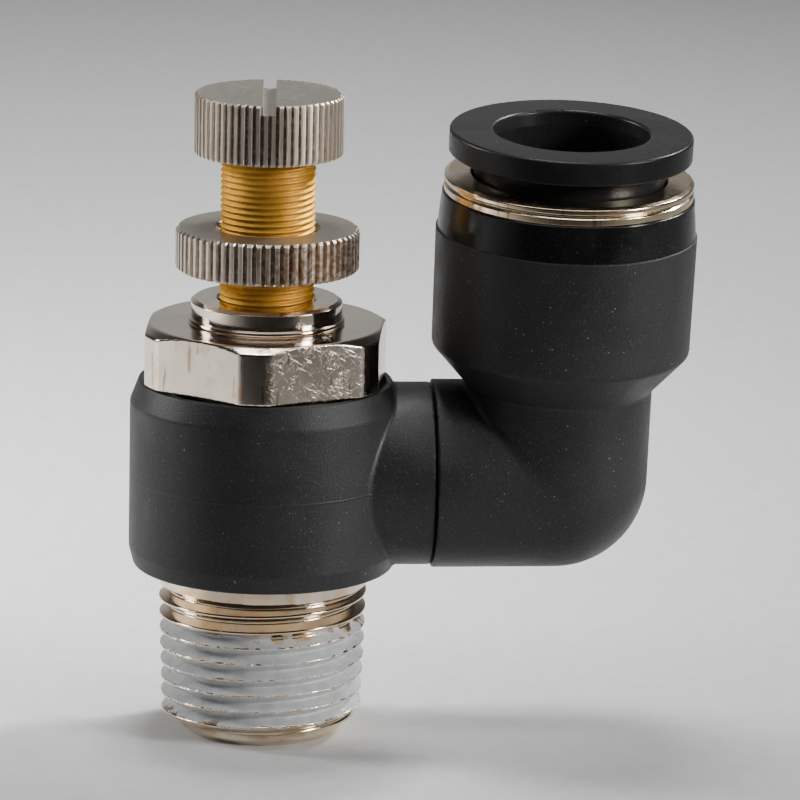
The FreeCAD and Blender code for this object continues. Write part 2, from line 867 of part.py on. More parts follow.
os.makedirs("parts", exist_ok=True)
for piece in sub_parts():
    piece.Shape.exportStep(f"parts/{piece.Label}.step")
    print(piece.Label, round(piece.Shape.Volume, 2), piece.Shape.BoundBox)
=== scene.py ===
import json
import math
from dataclasses import dataclass
import bmesh
import bpy
import numpy as np
from mathutils import Matrix, Vector


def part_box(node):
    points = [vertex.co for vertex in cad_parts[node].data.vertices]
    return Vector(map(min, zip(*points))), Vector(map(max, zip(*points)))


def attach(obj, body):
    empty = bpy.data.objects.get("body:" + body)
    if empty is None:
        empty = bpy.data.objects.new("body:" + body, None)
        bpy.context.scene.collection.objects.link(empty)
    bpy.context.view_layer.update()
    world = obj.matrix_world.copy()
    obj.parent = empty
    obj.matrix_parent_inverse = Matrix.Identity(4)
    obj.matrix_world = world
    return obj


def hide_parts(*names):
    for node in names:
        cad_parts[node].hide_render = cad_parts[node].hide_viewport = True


# Looks of a push-in speed controller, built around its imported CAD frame.
# Shapes are worked out in millimetres and turned into metres when a mesh is made.

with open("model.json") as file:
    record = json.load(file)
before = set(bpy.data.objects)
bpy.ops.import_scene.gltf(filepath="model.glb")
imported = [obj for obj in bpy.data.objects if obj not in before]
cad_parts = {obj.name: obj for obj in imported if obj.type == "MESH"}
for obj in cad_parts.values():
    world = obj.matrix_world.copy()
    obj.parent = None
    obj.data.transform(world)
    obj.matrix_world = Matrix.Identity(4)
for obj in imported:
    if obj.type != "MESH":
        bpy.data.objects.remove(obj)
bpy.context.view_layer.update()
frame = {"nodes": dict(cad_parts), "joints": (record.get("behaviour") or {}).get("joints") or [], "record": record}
RECORD = frame["record"]
MM = 0.001

BODY_OF = {node: body for body, nodes in RECORD["behaviour"]["bodies"].items() for node in nodes}
SLOT_OF = {part["node"]: part["material_slot"] for part in RECORD["subparts"]}
MOUNTS = {mount["name"]: mount for mount in RECORD["mounts"]}
JOINTS = {joint["name"]: joint for joint in frame["joints"]}

STEM_FRAME = Matrix.Identity(4)

# The elbow's own frame: its centre is where the arm's axis meets the tube's axis, and Z runs up the tube.
# The elbow is swivelled about the arm by LEAN, and its tube axis is moulded out of square by TILT.
ARM_HEIGHT = JOINTS["elbow_swivel"]["pos_m"][2] / MM
TUBE_AXIS = Vector(MOUNTS["tube_socket"]["axis"])
TUBE_PLACE = Vector(MOUNTS["tube_socket"]["pos_m"]) / MM
ELBOW_CENTRE = TUBE_PLACE - TUBE_AXIS * (TUBE_PLACE.z - ARM_HEIGHT) / TUBE_AXIS.z
LEAN = math.atan2(-TUBE_AXIS.y, TUBE_AXIS.z)
TILT = math.asin(TUBE_AXIS.x)
ELBOW_FRAME = Matrix.Translation(ELBOW_CENTRE) @ Matrix.Rotation(LEAN, 4, "X") @ Matrix.Rotation(TILT, 4, "Y")


# ---- measuring the frame


class Extent:
    """A node's heights and radii in millimetres, about the Z axis of a frame."""

    def __init__(self, node, place=STEM_FRAME):
        vertices = frame["nodes"][node].data.vertices
        points = np.empty(len(vertices) * 3)
        vertices.foreach_get("co", points)
        points = into_frame(points.reshape(-1, 3) / MM, place)
        radii = np.hypot(points[:, 0], points[:, 1])
        self.low = points[:, 2].min()
        self.high = points[:, 2].max()
        self.inner = radii.min()
        self.outer = radii.max()


def into_frame(points, place):
    inverse = np.array(place.inverted())
    return points @ inverse[:3, :3].T + inverse[:3, 3]


def out_of_frame(points, place):
    matrix = np.array(place)
    return points @ matrix[:3, :3].T + matrix[:3, 3]


# ---- outlines


def rounded(corners, closed=True, steps=5):
    """Replace each corner (across, up, rounding) by an arc. Returns points and convex-edge marks."""
    count = len(corners)
    points = []
    marks = []
    for index, (across, up, rounding) in enumerate(corners):
        here = np.array([across, up], float)
        at_end = not closed and index in (0, count - 1)
        if rounding == 0 or at_end:
            points.append(here)
            marks.append(0.0)
            continue
        before = np.array(corners[index - 1][:2], float) - here
        after = np.array(corners[(index + 1) % count][:2], float) - here
        before_way = before / np.linalg.norm(before)
        after_way = after / np.linalg.norm(after)
        half = math.acos(np.clip(before_way @ after_way, -1, 1)) / 2
        setback = rounding / math.tan(half)
        middle_way = before_way + after_way
        centre = here + middle_way / np.linalg.norm(middle_way) * rounding / math.sin(half)
        start = here + before_way * setback - centre
        finish = here + after_way * setback - centre
        turn = start[0] * finish[1] - start[1] * finish[0]
        sweep = math.pi - 2 * half
        for step in range(steps + 1):
            angle = sweep * step / steps * (1 if turn > 0 else -1)
            cosine = math.cos(angle)
            sine = math.sin(angle)
            points.append(centre + [start[0] * cosine - start[1] * sine, start[0] * sine + start[1] * cosine])
            marks.append(math.sin(math.pi * step / steps) if turn > 0 else 0.0)
    return np.array(points), np.array(marks)


# ---- shells as arrays


class Shell:
    """Vertices, faces and per-vertex marks of one closed surface, in millimetres."""

    def __init__(self, vertices, faces, edge, normals=None):
        self.vertices = vertices
        self.faces = faces
        self.edge = edge
        self.normals = face_weighted_normals(vertices, faces) if normals is None else normals

    def moved(self, place):
        turn = np.array(place)[:3, :3]
        return Shell(out_of_frame(self.vertices, place), self.faces, self.edge, self.normals @ turn.T)


def face_weighted_normals(vertices, faces):
    normals = np.zeros_like(vertices)
    for size in (3, 4):
        group = np.array([face for face in faces if len(face) == size])
        if not len(group):
            continue
        diagonal_a = vertices[group[:, 2]] - vertices[group[:, 0]]
        diagonal_b = vertices[group[:, -1]] - vertices[group[:, 1]]
        crossed = np.cross(diagonal_a, diagonal_b)
        for corner in range(size):
            np.add.at(normals, group[:, corner], crossed)
    lengths = np.linalg.norm(normals, axis=1, keepdims=True)
    return normals / np.maximum(lengths, 1e-12)


def welded(vertices, faces, edge):
    """Merge vertices that lie in one place and drop the faces that this collapses."""
    keys = np.round(vertices / 1e-5).astype(np.int64)
    _, first, index = np.unique(keys, axis=0, return_index=True, return_inverse=True)
    index = index.reshape(-1)
    kept = []
    for face in faces:
        ring = []
        for corner in index[list(face)]:
            if corner not in ring:
                ring.append(int(corner))
        if len(ring) > 2:
            kept.append(ring)
    return vertices[first], kept, edge[first]


def grid_faces(rows, columns, closed, wrapped=True):
    """Quads between rings of points: closed joins the last ring to the first, wrapped the last column."""
    faces = []
    for row in range(rows if closed else rows - 1):
        upper = (row + 1) % rows
        for column in range(columns if wrapped else columns - 1):
            right = (column + 1) % columns
            lower_pair = (row * columns + column, row * columns + right)
            upper_pair = (upper * columns + right, upper * columns + column)
            faces.append(lower_pair + upper_pair)
    return faces


def ring_of_points(radii, angles, heights):
    return np.column_stack([radii * np.cos(angles), radii * np.sin(angles), heights + 0 * angles])


LATHE_SEGMENTS = 256


def lathe(corners, closed=True, steps=5, profile=None):
    """Turn an outline about Z. A profile gives angles, and the most that the radius is at each of them."""
    outline, marks = rounded(corners, closed, steps)
    if profile is None:
        angles = np.linspace(0, 2 * math.pi, LATHE_SEGMENTS, endpoint=False)
        limits = np.full(LATHE_SEGMENTS, np.inf)
    else:
        angles, limits = profile
    rings = []
    edges = []
    for (across, up), mark in zip(outline, marks):
        radii = np.minimum(across, limits)
        sunk = (across - radii) / np.ptp(limits) if profile else 0 * radii
        rings.append(ring_of_points(radii, angles, up))
        edges.append(mark - np.minimum(sunk, 1))
    vertices = np.vstack(rings)
    edge = np.concatenate(edges)
    faces = grid_faces(len(outline), len(angles), closed)
    vertices, faces, edge = welded(vertices, faces, edge)
    return facing_out(vertices, faces, edge)


def facing_out(vertices, faces, edge):
    """Turn every face over if the shell encloses a negative volume."""
    volume = 0.0
    for face in faces:
        first = vertices[face[0]]
        for second, third in zip(face[1:-1], face[2:]):
            volume += first @ np.cross(vertices[second], vertices[third])
    if volume < 0:
        faces = [face[::-1] for face in faces]
    return Shell(vertices, faces, edge)


# ---- threads


# Shares of the pitch that are level, at a thread's crest and at its root
CREST_SHARE = 0.12
ROOT_SHARE = 0.1


def ridge(phase):
    """Height of a thread's ridge, 0 to 1, across one pitch with its crest in the middle."""
    away = abs(phase - 0.5) * 2
    return np.clip((1 - ROOT_SHARE - away) / (1 - ROOT_SHARE - CREST_SHARE), 0, 1)


@dataclass
class Thread:
    """A right-hand external thread between two heights, with a crest at a height on the -X side."""

    low: float
    high: float
    pitch: float
    depth: float
    crest_radius: callable
    crest_height: float
    phases: tuple
    lead_in: callable
    run_out: callable

    def rows(self, segments):
        """Rings of points that follow the helix, held to the thread's two ends."""
        angles = np.linspace(0, 2 * math.pi, segments + 1)
        rise = self.pitch * angles / (2 * math.pi)
        # From the origin it is half a pitch to the crest's middle, and half a turn more to the -X side.
        origin = self.crest_height - self.pitch
        first = math.floor((self.low - origin) / self.pitch) - 1
        last = math.ceil((self.high - origin) / self.pitch) + 1
        for turn in range(first, last):
            for phase in self.phases:
                height = origin + (turn + phase) * self.pitch + rise
                lift = ridge(phase)
                radii = self.crest_radius(height) - self.depth * (1 - lift)
                radii = np.minimum(radii, self.lead_in(height))
                radii = np.maximum(radii, self.run_out(height))
                ends = np.clip(height, self.low, self.high)
                radii = np.where(height < self.low, self.lead_in(self.low), radii)
                radii = np.where(height > self.high, self.run_out(self.high), radii)
                yield ring_of_points(radii, angles, ends), lift


def threaded_lathe(below, thread, above, segments=LATHE_SEGMENTS):
    """A turned piece whose outline runs from below, through a thread, to above, and closes."""
    angles = np.linspace(0, 2 * math.pi, segments + 1)
    rings = []
    marks = []

    def add_outline(corners):
        outline, edges = rounded(corners, closed=False)
        for (across, up), mark in zip(outline, edges):
            rings.append(ring_of_points(across, angles, up))
            marks.append(np.full(segments + 1, mark))

    add_outline(below)
    for ring, lift in thread.rows(segments):
        rings.append(ring)
        marks.append(np.full(segments + 1, float(lift)))
    add_outline(above)
    faces = grid_faces(len(rings), segments + 1, closed=True, wrapped=False)
    vertices, faces, edge = welded(np.vstack(rings), faces, np.concatenate(marks))
    return facing_out(vertices, faces, edge)


# ---- solids from distances


def outline_distance(points, corners):
    """Signed distance in the plane to a rounded outline. Sides on the axis don't count."""
    outline, _ = rounded(corners)
    nearest = np.full(len(points), np.inf)
    inside = np.zeros(len(points), bool)
    for start, end in zip(outline, np.roll(outline, -1, axis=0)):
        way = end - start
        offset = points - start
        below = points[:, 1] >= start[1]
        above = points[:, 1] < end[1]
        left = way[0] * offset[:, 1] > way[1] * offset[:, 0]
        inside ^= (below & above & left) | (~below & ~above & ~left)
        if abs(start[0]) < 1e-6 and abs(end[0]) < 1e-6:
            continue
        share = np.clip(offset @ way / (way @ way), 0, 1)
        gap = offset - share[:, None] * way
        nearest = np.minimum(nearest, np.einsum("ij,ij->i", gap, gap))
    return np.where(inside, -1, 1) * np.sqrt(nearest)


def turned_about_z(points, corners):
    return outline_distance(np.column_stack([np.hypot(points[:, 0], points[:, 1]), points[:, 2]]), corners)


def turned_about_x(points, corners, height):
    """Corners are (radius, distance along X)."""
    radii = np.hypot(points[:, 1], points[:, 2] - height)
    return outline_distance(np.column_stack([radii, points[:, 0]]), corners)


def joined(first, second, fillet):
    """Union of two distances with a fillet in the corner between them."""
    inner = np.hypot(np.maximum(fillet - first, 0), np.maximum(fillet - second, 0))
    return np.maximum(fillet, np.minimum(first, second)) - inner


def common(first, second, rounding):
    return -joined(-first, -second, rounding)


def cut(first, second, rounding):
    return common(first, -second, rounding)


LATTICE_PARTS = 24
SETTLING_STEPS = 4


def skin(distance, low, high, cell):
    """Mesh the surface where a distance function is zero, inside a box."""
    # The uneven margin keeps the lattice's planes off the faces of the solid.
    low = np.array(low, float) - 2.03 * cell
    counts = np.ceil((np.array(high, float) + 2 * cell - low) / cell).astype(int) + 1
    axes = [low[axis] + cell * np.arange(counts[axis]) for axis in range(3)]
    lattice = np.stack(np.meshgrid(*axes, indexing="ij"), axis=-1).reshape(-1, 3)
    parts = np.array_split(lattice, LATTICE_PARTS)
    values = np.concatenate([distance(part) for part in parts]).reshape(counts)
    solid = values < 0
    crossing_sum = np.zeros((*(counts - 1), 3))
    crossing_count = np.zeros(counts - 1)
    quads = []
    for axis in range(3):
        near = [slice(None)] * 3
        far = [slice(None)] * 3
        near[axis] = slice(0, -1)
        far[axis] = slice(1, None)
        near = tuple(near)
        far = tuple(far)
        spots = np.argwhere(solid[near] != solid[far])
        start = values[near][tuple(spots.T)]
        end = values[far][tuple(spots.T)]
        crossing = spots.astype(float)
        crossing[:, axis] += start / (start - end)
        side_a, side_b = [other for other in range(3) if other != axis]
        around = []
        for step_a, step_b in ((-1, -1), (0, -1), (0, 0), (-1, 0)):
            cells = spots.copy()
            cells[:, side_a] += step_a
            cells[:, side_b] += step_b
            np.add.at(crossing_sum, tuple(cells.T), crossing)
            np.add.at(crossing_count, tuple(cells.T), 1)
            around.append(np.ravel_multi_index(tuple(cells.T), counts - 1))
        ring = np.stack(around, axis=1)
        flip = solid[near][tuple(spots.T)] ^ (axis == 1)
        quads.append(np.where(flip[:, None], ring, ring[:, ::-1]))
    quads = np.vstack(quads)
    used, index = np.unique(quads, return_inverse=True)
    faces = index.reshape(quads.shape)
    sums = crossing_sum.reshape(-1, 3)[used]
    vertices = low + cell * sums / crossing_count.reshape(-1)[used][:, None]
    for _ in range(SETTLING_STEPS):
        value, slope = value_and_slope(distance, vertices)
        step = value / np.maximum(np.einsum("ij,ij->i", slope, slope), 0.25)
        vertices = vertices - np.clip(step, -cell, cell)[:, None] * slope
    _, slope = value_and_slope(distance, vertices)
    normals = slope / np.maximum(np.linalg.norm(slope, axis=1, keepdims=True), 1e-9)
    return Shell(vertices, faces.tolist(), bend_marks(distance, vertices), normals)


def value_and_slope(distance, points, reach=0.004):
    value = distance(points)
    slope = np.empty_like(points)
    for axis in range(3):
        step = np.zeros(3)
        step[axis] = reach
        slope[:, axis] = (distance(points + step) - distance(points - step)) / (2 * reach)
    return value, slope


def bend_marks(distance, points, reach=0.12):
    """How sharply the surface bends outwards at each point: 1 on an edge, 0 on a face."""
    total = -6 * distance(points)
    for axis in range(3):
        step = np.zeros(3)
        step[axis] = reach
        total += distance(points + step) + distance(points - step)
    return np.clip(total / reach**2 * 0.25 - 0.1, 0, 1)


# ---- pieces


def make_piece(name, shells):
    """One mesh object from shells, with an edge mark and smooth shading."""
    vertices = np.vstack([shell.vertices for shell in shells])
    faces = []
    start = 0
    for shell in shells:
        faces.extend([corner + start for corner in face] for face in shell.faces)
        start += len(shell.vertices)
    mesh = bpy.data.meshes.new(name)
    mesh.from_pydata((vertices * MM).tolist(), [], faces)
    mesh.update()
    mesh.polygons.foreach_set("use_smooth", np.ones(len(mesh.polygons), bool))
    marks = mesh.attributes.new("edge", "FLOAT", "POINT")
    marks.data.foreach_set("value", np.concatenate([shell.edge for shell in shells]).astype(np.float32))
    mesh.normals_split_custom_set_from_vertices(np.vstack([shell.normals for shell in shells]).tolist())
    piece = bpy.data.objects.new(name, mesh)
    bpy.context.scene.collection.objects.link(piece)
    return piece


def stand_for(piece, node, material):
    """The piece takes the place, body and slot of a CAD node."""
    piece.data.materials.append(material)
    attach(piece, BODY_OF[node])
    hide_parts(node)


def add_piece(name, shells, node, material):
    stand_for(make_piece(name, shells), node, material)


# Across one tooth of a straight knurl: the share of the pitch from the crest's middle, and of the depth.
TOOTH = ((-0.5, 1.0), (-0.4, 1.0), (-0.34, 0.86), (-0.23, 0.1), (-0.19, 0.0), (-0.07, 0.0))
TOOTH += tuple((-share, drop) for share, drop in TOOTH[:0:-1])


def knurl_profile(teeth, depth, radius):
    """Angles and radii around a straight-knurled ring: level crests, steep flanks and narrow valleys."""
    angles = [(tooth + share) / teeth * 2 * math.pi for tooth in range(teeth) for share, _ in TOOTH]
    radii = [radius - depth * drop for _ in range(teeth) for _, drop in TOOTH]
    return np.array(angles), np.array(radii)


# Stem: hexagon and shank
HEX_FLATS = 19.0
HEX_TURN = math.radians(51.8)
HEX_CHAMFER = 0.5
HEX_FACE_RADIUS = 9.5
HEX_ROUNDING = 0.09
HEX_CELL = 0.12
# The head starts this far above the barrel, and the shank runs this far up into the head
HEAD_GAP = 0.1
SHANK_OVERLAP = 0.2
STEM_BORE = 6.0
PORT_BORE = 5.2
PORT_DEPTH = 10.8
SHANK_RADIUS = 8.55
NECK_HEIGHT = 12.5
PILOT_RADIUS = 6.75
PILOT_LOW = 0.5
PILOT_HIGH = 0.95
NOSE_RADIUS = 6.2
# Grooves of the shank: the middle's height, the width and the radius at the bottom
STEM_GROOVES = ((15.0, 0.8, 7.95), (17.1, 1.5, 7.3), (26.1, 1.5, 7.3))
GROOVE_ROUNDING = 0.08
# R3/8 taper thread
PORT_PITCH = 1.337
PORT_THREAD_DEPTH = 0.80
PORT_CREST_HEIGHT = 1.68
GAUGE_RADIUS = 8.331
GAUGE_HEIGHT = 6.35
TAPER_RUN = 32.0
LEAD_IN_SLOPE = 2.2
RUN_OUT_SLOPE = 1.25
PORT_PHASES = (0.0, 0.05, 0.1, 0.2, 0.3, 0.38, 0.43, 0.47, 0.5, 0.53, 0.57, 0.62, 0.7, 0.8, 0.9, 0.95)


def hexagon_distance(points, low, high, corner_radius):
    radii = np.hypot(points[:, 0], points[:, 1])
    solid = radii - corner_radius
    for side in range(6):
        angle = HEX_TURN + side * math.pi / 3
        flat = points[:, 0] * math.cos(angle) + points[:, 1] * math.sin(angle) - HEX_FLATS / 2
        solid = common(solid, flat, HEX_ROUNDING)
    run = corner_radius - HEX_FACE_RADIUS
    slant = math.hypot(run, HEX_CHAMFER)
    bevel = ((radii - HEX_FACE_RADIUS) * HEX_CHAMFER + (points[:, 2] - high) * run) / slant
    solid = common(solid, bevel, HEX_ROUNDING)
    solid = common(solid, points[:, 2] - high, HEX_ROUNDING)
    solid = common(solid, low - points[:, 2], HEX_ROUNDING)
    return cut(solid, radii - STEM_BORE, HEX_ROUNDING)


def make_stem(material):
    size = Extent("threaded_stem")
    hex_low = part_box("swivel_barrel")[1].z / MM + HEAD_GAP
    head = skin(
        lambda points: hexagon_distance(points, hex_low, size.high, size.outer),
        (-size.outer, -size.outer, hex_low),
        (size.outer, size.outer, size.high),
        HEX_CELL,
    )
    thread = Thread(
        PILOT_HIGH,
        NECK_HEIGHT,
        PORT_PITCH,
        PORT_THREAD_DEPTH,
        lambda height: GAUGE_RADIUS + (height - GAUGE_HEIGHT) / TAPER_RUN,
        PORT_CREST_HEIGHT,
        PORT_PHASES,
        lambda height: PILOT_RADIUS + (height - PILOT_HIGH) * LEAD_IN_SLOPE,
        lambda height: SHANK_RADIUS - (NECK_HEIGHT - height) * RUN_OUT_SLOPE,
    )
    below = [
        (PORT_BORE, PORT_DEPTH, 0),
        (PORT_BORE, size.low, 0.15),
        (NOSE_RADIUS, size.low, 0.12),
        (PILOT_RADIUS, PILOT_LOW, 0.1),
        (PILOT_RADIUS, PILOT_HIGH, 0),
    ]
    above = [(SHANK_RADIUS, NECK_HEIGHT, 0)]
    for middle, width, bottom in STEM_GROOVES:
        above.append((SHANK_RADIUS, middle - width / 2, GROOVE_ROUNDING))
        above.append((bottom, middle - width / 2, GROOVE_ROUNDING))
        above.append((bottom, middle + width / 2, GROOVE_ROUNDING))
        above.append((SHANK_RADIUS, middle + width / 2, GROOVE_ROUNDING))
    above.append((SHANK_RADIUS, hex_low + SHANK_OVERLAP, 0))
    above.append((STEM_BORE, hex_low + SHANK_OVERLAP, 0))
    above.append((STEM_BORE, PORT_DEPTH, 0))
    shank = threaded_lathe(below, thread, above)
    add_piece("stem", [shank, head], "threaded_stem", material)


# Needle guide
GUIDE_THREAD_RADIUS = 3.9
GUIDE_BORE = 4.2
GUIDE_TUBE = 5.2
GUIDE_STEP = 31.4
GUIDE_FLANGE_LOW = 26.5
SEAL_SEAT = 4.7
SEAL_SEAT_TOP = 14.0
COLLAR_FOOT = 0.4
COLLAR_RADIUS = 6.15
COLLAR_BEVEL = 0.35
COLLAR_BEVEL_HEIGHT = 0.25
BUSH_FIT = 0.02
GUIDE_CHAMFER = 0.2


def make_guide(material):
    size = Extent("needle_guide")
    hex_top = Extent("threaded_stem").high
    corners = [
        (GUIDE_BORE, size.low, 0.05),
        (SEAL_SEAT, size.low, 0.05),
        (SEAL_SEAT, SEAL_SEAT_TOP, 0.05),
        (GUIDE_TUBE, SEAL_SEAT_TOP, 0.05),
        (GUIDE_TUBE, GUIDE_FLANGE_LOW, 0.1),
        (STEM_BORE - BUSH_FIT, GUIDE_FLANGE_LOW, 0.1),
        (STEM_BORE - BUSH_FIT, hex_top, 0),
        (size.outer, hex_top, 0),
        (size.outer, hex_top + COLLAR_FOOT, 0.15),
        (COLLAR_RADIUS, hex_top + COLLAR_FOOT, 0.08),
        (COLLAR_RADIUS, size.high - COLLAR_BEVEL_HEIGHT, 0.06),
        (COLLAR_RADIUS - COLLAR_BEVEL, size.high, 0.06),
        (GUIDE_THREAD_RADIUS + GUIDE_CHAMFER, size.high, 0.04),
        (GUIDE_THREAD_RADIUS, size.high - GUIDE_CHAMFER, 0.03),
        (GUIDE_THREAD_RADIUS, GUIDE_STEP, 0.05),
        (GUIDE_BORE, GUIDE_STEP, 0.05),
    ]
    add_piece("collar_and_guide", [lathe(corners)], "needle_guide", material)


# Knurled knob and lock nut
KNOB_TEETH = 60
NUT_TEETH = 62
KNURL_DEPTH = 0.27
KNURL_RIM = 0.5
KNOB_FOOT_BEVEL = 0.16
KNOB_TOP_BEVEL = 0.14
SLOT_WIDTH = 1.05
SLOT_DEPTH = 0.75
SLOT_TURN = math.radians(86.4)
SLOT_BEVEL = 0.05
SHARP_ANGLE = math.radians(38)
SPINDLE_RADIUS = 3.85


def side_points(size, bands):
    """Corners that divide a straight side into bands."""
    return [(size.outer, size.low + (size.high - size.low) * band / bands, 0) for band in range(1, bands)]


def make_knob(material):
    size = Extent("adjusting_knob")
    spindle_top = Extent("needle_spindle").high
    corners = [
        (0, spindle_top, 0),
        (SPINDLE_RADIUS, spindle_top, 0),
        (SPINDLE_RADIUS, size.low, 0.06),
        (size.outer - KNURL_RIM, size.low, 0),
        (size.outer - KNOB_FOOT_BEVEL, size.low, 0.05),
        (size.outer, size.low + KNOB_FOOT_BEVEL, 0.05),
        *side_points(size, 6),
        (size.outer, size.high - KNOB_TOP_BEVEL, 0.04),
        (size.outer - KNOB_TOP_BEVEL, size.high, 0.04),
        (size.outer - KNURL_RIM, size.high, 0),
        (0, size.high, 0),
    ]
    profile = knurl_profile(KNOB_TEETH, KNURL_DEPTH, size.outer)
    shell = lathe(corners, closed=False, steps=3, profile=profile)
    knob = make_piece("knob", [shell])
    cut_slot(knob, size)
    sharpen(knob, SHARP_ANGLE)
    stand_for(knob, "adjusting_knob", material)


def cut_slot(knob, size):
    """Cut the screwdriver slot right across the knob's top."""
    shape = bmesh.new()
    bmesh.ops.create_cube(shape, size=1)
    past_the_knob = size.outer * 2.4
    scale = Matrix.Diagonal((past_the_knob * MM, SLOT_WIDTH * MM, 2 * SLOT_DEPTH * MM, 1))
    bmesh.ops.transform(shape, matrix=scale, verts=shape.verts)
    bmesh.ops.bevel(shape, geom=shape.edges[:], offset=SLOT_BEVEL * MM, segments=2, affect="EDGES")
    placement = Matrix.Translation((0, 0, size.high * MM)) @ Matrix.Rotation(SLOT_TURN, 4, "Z")
    bmesh.ops.transform(shape, matrix=placement, verts=shape.verts)
    mesh = bpy.data.meshes.new("slot_cutter")
    shape.to_mesh(mesh)
    shape.free()
    cutter = bpy.data.objects.new("slot_cutter", mesh)
    bpy.context.scene.collection.objects.link(cutter)
    boolean = knob.modifiers.new("slot", "BOOLEAN")
    boolean.operation = "DIFFERENCE"
    boolean.object = cutter
    boolean.solver = "EXACT"
    apply_modifiers(knob)
    bpy.data.objects.remove(cutter)


def apply_modifiers(piece):
    """Put the modifiers' result in the piece's own mesh."""
    graph = bpy.context.evaluated_depsgraph_get()
    result = bpy.data.meshes.new_from_object(piece.evaluated_get(graph))
    piece.modifiers.clear()
    piece.data = result


def sharpen(piece, angle):
    """Mark edges sharper than an angle and weight the normals by face area."""
    shape = bmesh.new()
    shape.from_mesh(piece.data)
    for edge in shape.edges:
        edge.smooth = edge.calc_face_angle(0) < angle
    for face in shape.faces:
        face.smooth = True
    shape.to_mesh(piece.data)
    shape.free()
    weighting = piece.modifiers.new("weighting", "WEIGHTED_NORMAL")
    weighting.keep_sharp = True
    weighting.weight = 100


NUT_KNURL_DEPTH = KNURL_DEPTH * 1.1
NUT_BEVEL = (0.22, 0.2)
NUT_FOOT_CHAMFER = 0.3
NUT_TOP_CHAMFER = 0.4


def make_lock_nut(material):
    size = Extent("lock_nut")
    bevel_width, bevel_height = NUT_BEVEL
    corners = [
        (size.inner, size.low + NUT_FOOT_CHAMFER, 0.05),
        (size.inner + NUT_FOOT_CHAMFER, size.low, 0.05),
        (size.outer - KNURL_RIM, size.low, 0),
        (size.outer - bevel_width, size.low, 0.05),
        (size.outer, size.low + bevel_height, 0.05),
        *side_points(size, 4),
        (size.outer, size.high - bevel_height, 0.05),
        (size.outer - bevel_width, size.high, 0.05),
        (size.outer - KNURL_RIM, size.high, 0),
        (size.inner + NUT_TOP_CHAMFER, size.high, 0.05),
        (size.inner, size.high - NUT_TOP_CHAMFER, 0.05),
    ]
    profile = knurl_profile(NUT_TEETH, NUT_KNURL_DEPTH, size.outer)
    shell = lathe(corners, steps=3, profile=profile)
    add_piece("nut", [shell], "lock_nut", material)


# Needle spindle
FINE_PITCH = 0.5
FINE_DEPTH = 0.2
FINE_PHASES = (0.0, 0.1, 0.28, 0.42, 0.5, 0.58, 0.72, 0.9)
FINE_THREAD_RELIEF = 0.3
FINE_THREAD_RISE = 0.5
FINE_THREAD_IN_KNOB = 0.8
PISTON_TOP = 30.85
PISTON_LOW = 28.6
PISTON_GROOVE = (29.0, 30.4, 3.15)
NEEDLE_RADIUS = 2.6
CONE_HIGH = 19.3
TIP_RADIUS = 0.9


def make_spindle(material):
    size = Extent("needle_spindle")
    thread_low = PISTON_TOP + FINE_THREAD_RISE
    thread_high = Extent("adjusting_knob").low + FINE_THREAD_IN_KNOB
    relief_radius = SPINDLE_RADIUS - FINE_THREAD_RELIEF
    thread = Thread(
        thread_low,
        thread_high,
        FINE_PITCH,
        FINE_DEPTH,
        lambda height: SPINDLE_RADIUS,
        0.0,
        FINE_PHASES,
        lambda height: relief_radius + (height - thread_low),
        lambda height: SPINDLE_RADIUS - (thread_high - height),
    )
    low, high, groove_radius = PISTON_GROOVE
    below = [
        (0, size.low, 0),
        (TIP_RADIUS, size.low, 0.1),
        (NEEDLE_RADIUS - 0.1, CONE_HIGH, 0.05),
        (NEEDLE_RADIUS, CONE_HIGH + 0.1, 0.05),
        (NEEDLE_RADIUS, PISTON_LOW, 0.1),
        (size.outer, PISTON_LOW, 0.08),
        (size.outer, low, 0.05),
        (groove_radius, low, 0.05),
        (groove_radius, high, 0.05),
        (size.outer, high, 0.05),
        (size.outer, PISTON_TOP, 0.08),
        (relief_radius, PISTON_TOP, 0.05),
        (relief_radius, thread_low, 0),
    ]
    above = [(SPINDLE_RADIUS, thread_high, 0), (SPINDLE_RADIUS, size.high, 0.05), (0, size.high, 0)]
    shell = threaded_lathe(below, thread, above, segments=192)
    add_piece("spindle", [shell], "needle_spindle", material)


# Swivel barrel
BARREL_FOOT_RADIUS = 10.6
BARREL_FOOT_HEIGHT = 1.5
BARREL_SHOULDER_DROP = 1.8
BARREL_RIM_RADIUS = 10.3
BARREL_BORE = 8.6
BARREL_CHANNEL = (9.5, 2.15)
RIM_WALL = 0.55
RIM_RECESS = 0.45
BORE_CHAMFER = 0.3
STUB_START = 4
STUB_RADIUS = 7.47
ARM_BORE = 5.4
BARREL_CELL = 0.19
# How far an outline that cuts runs past the solid
PAST = 3


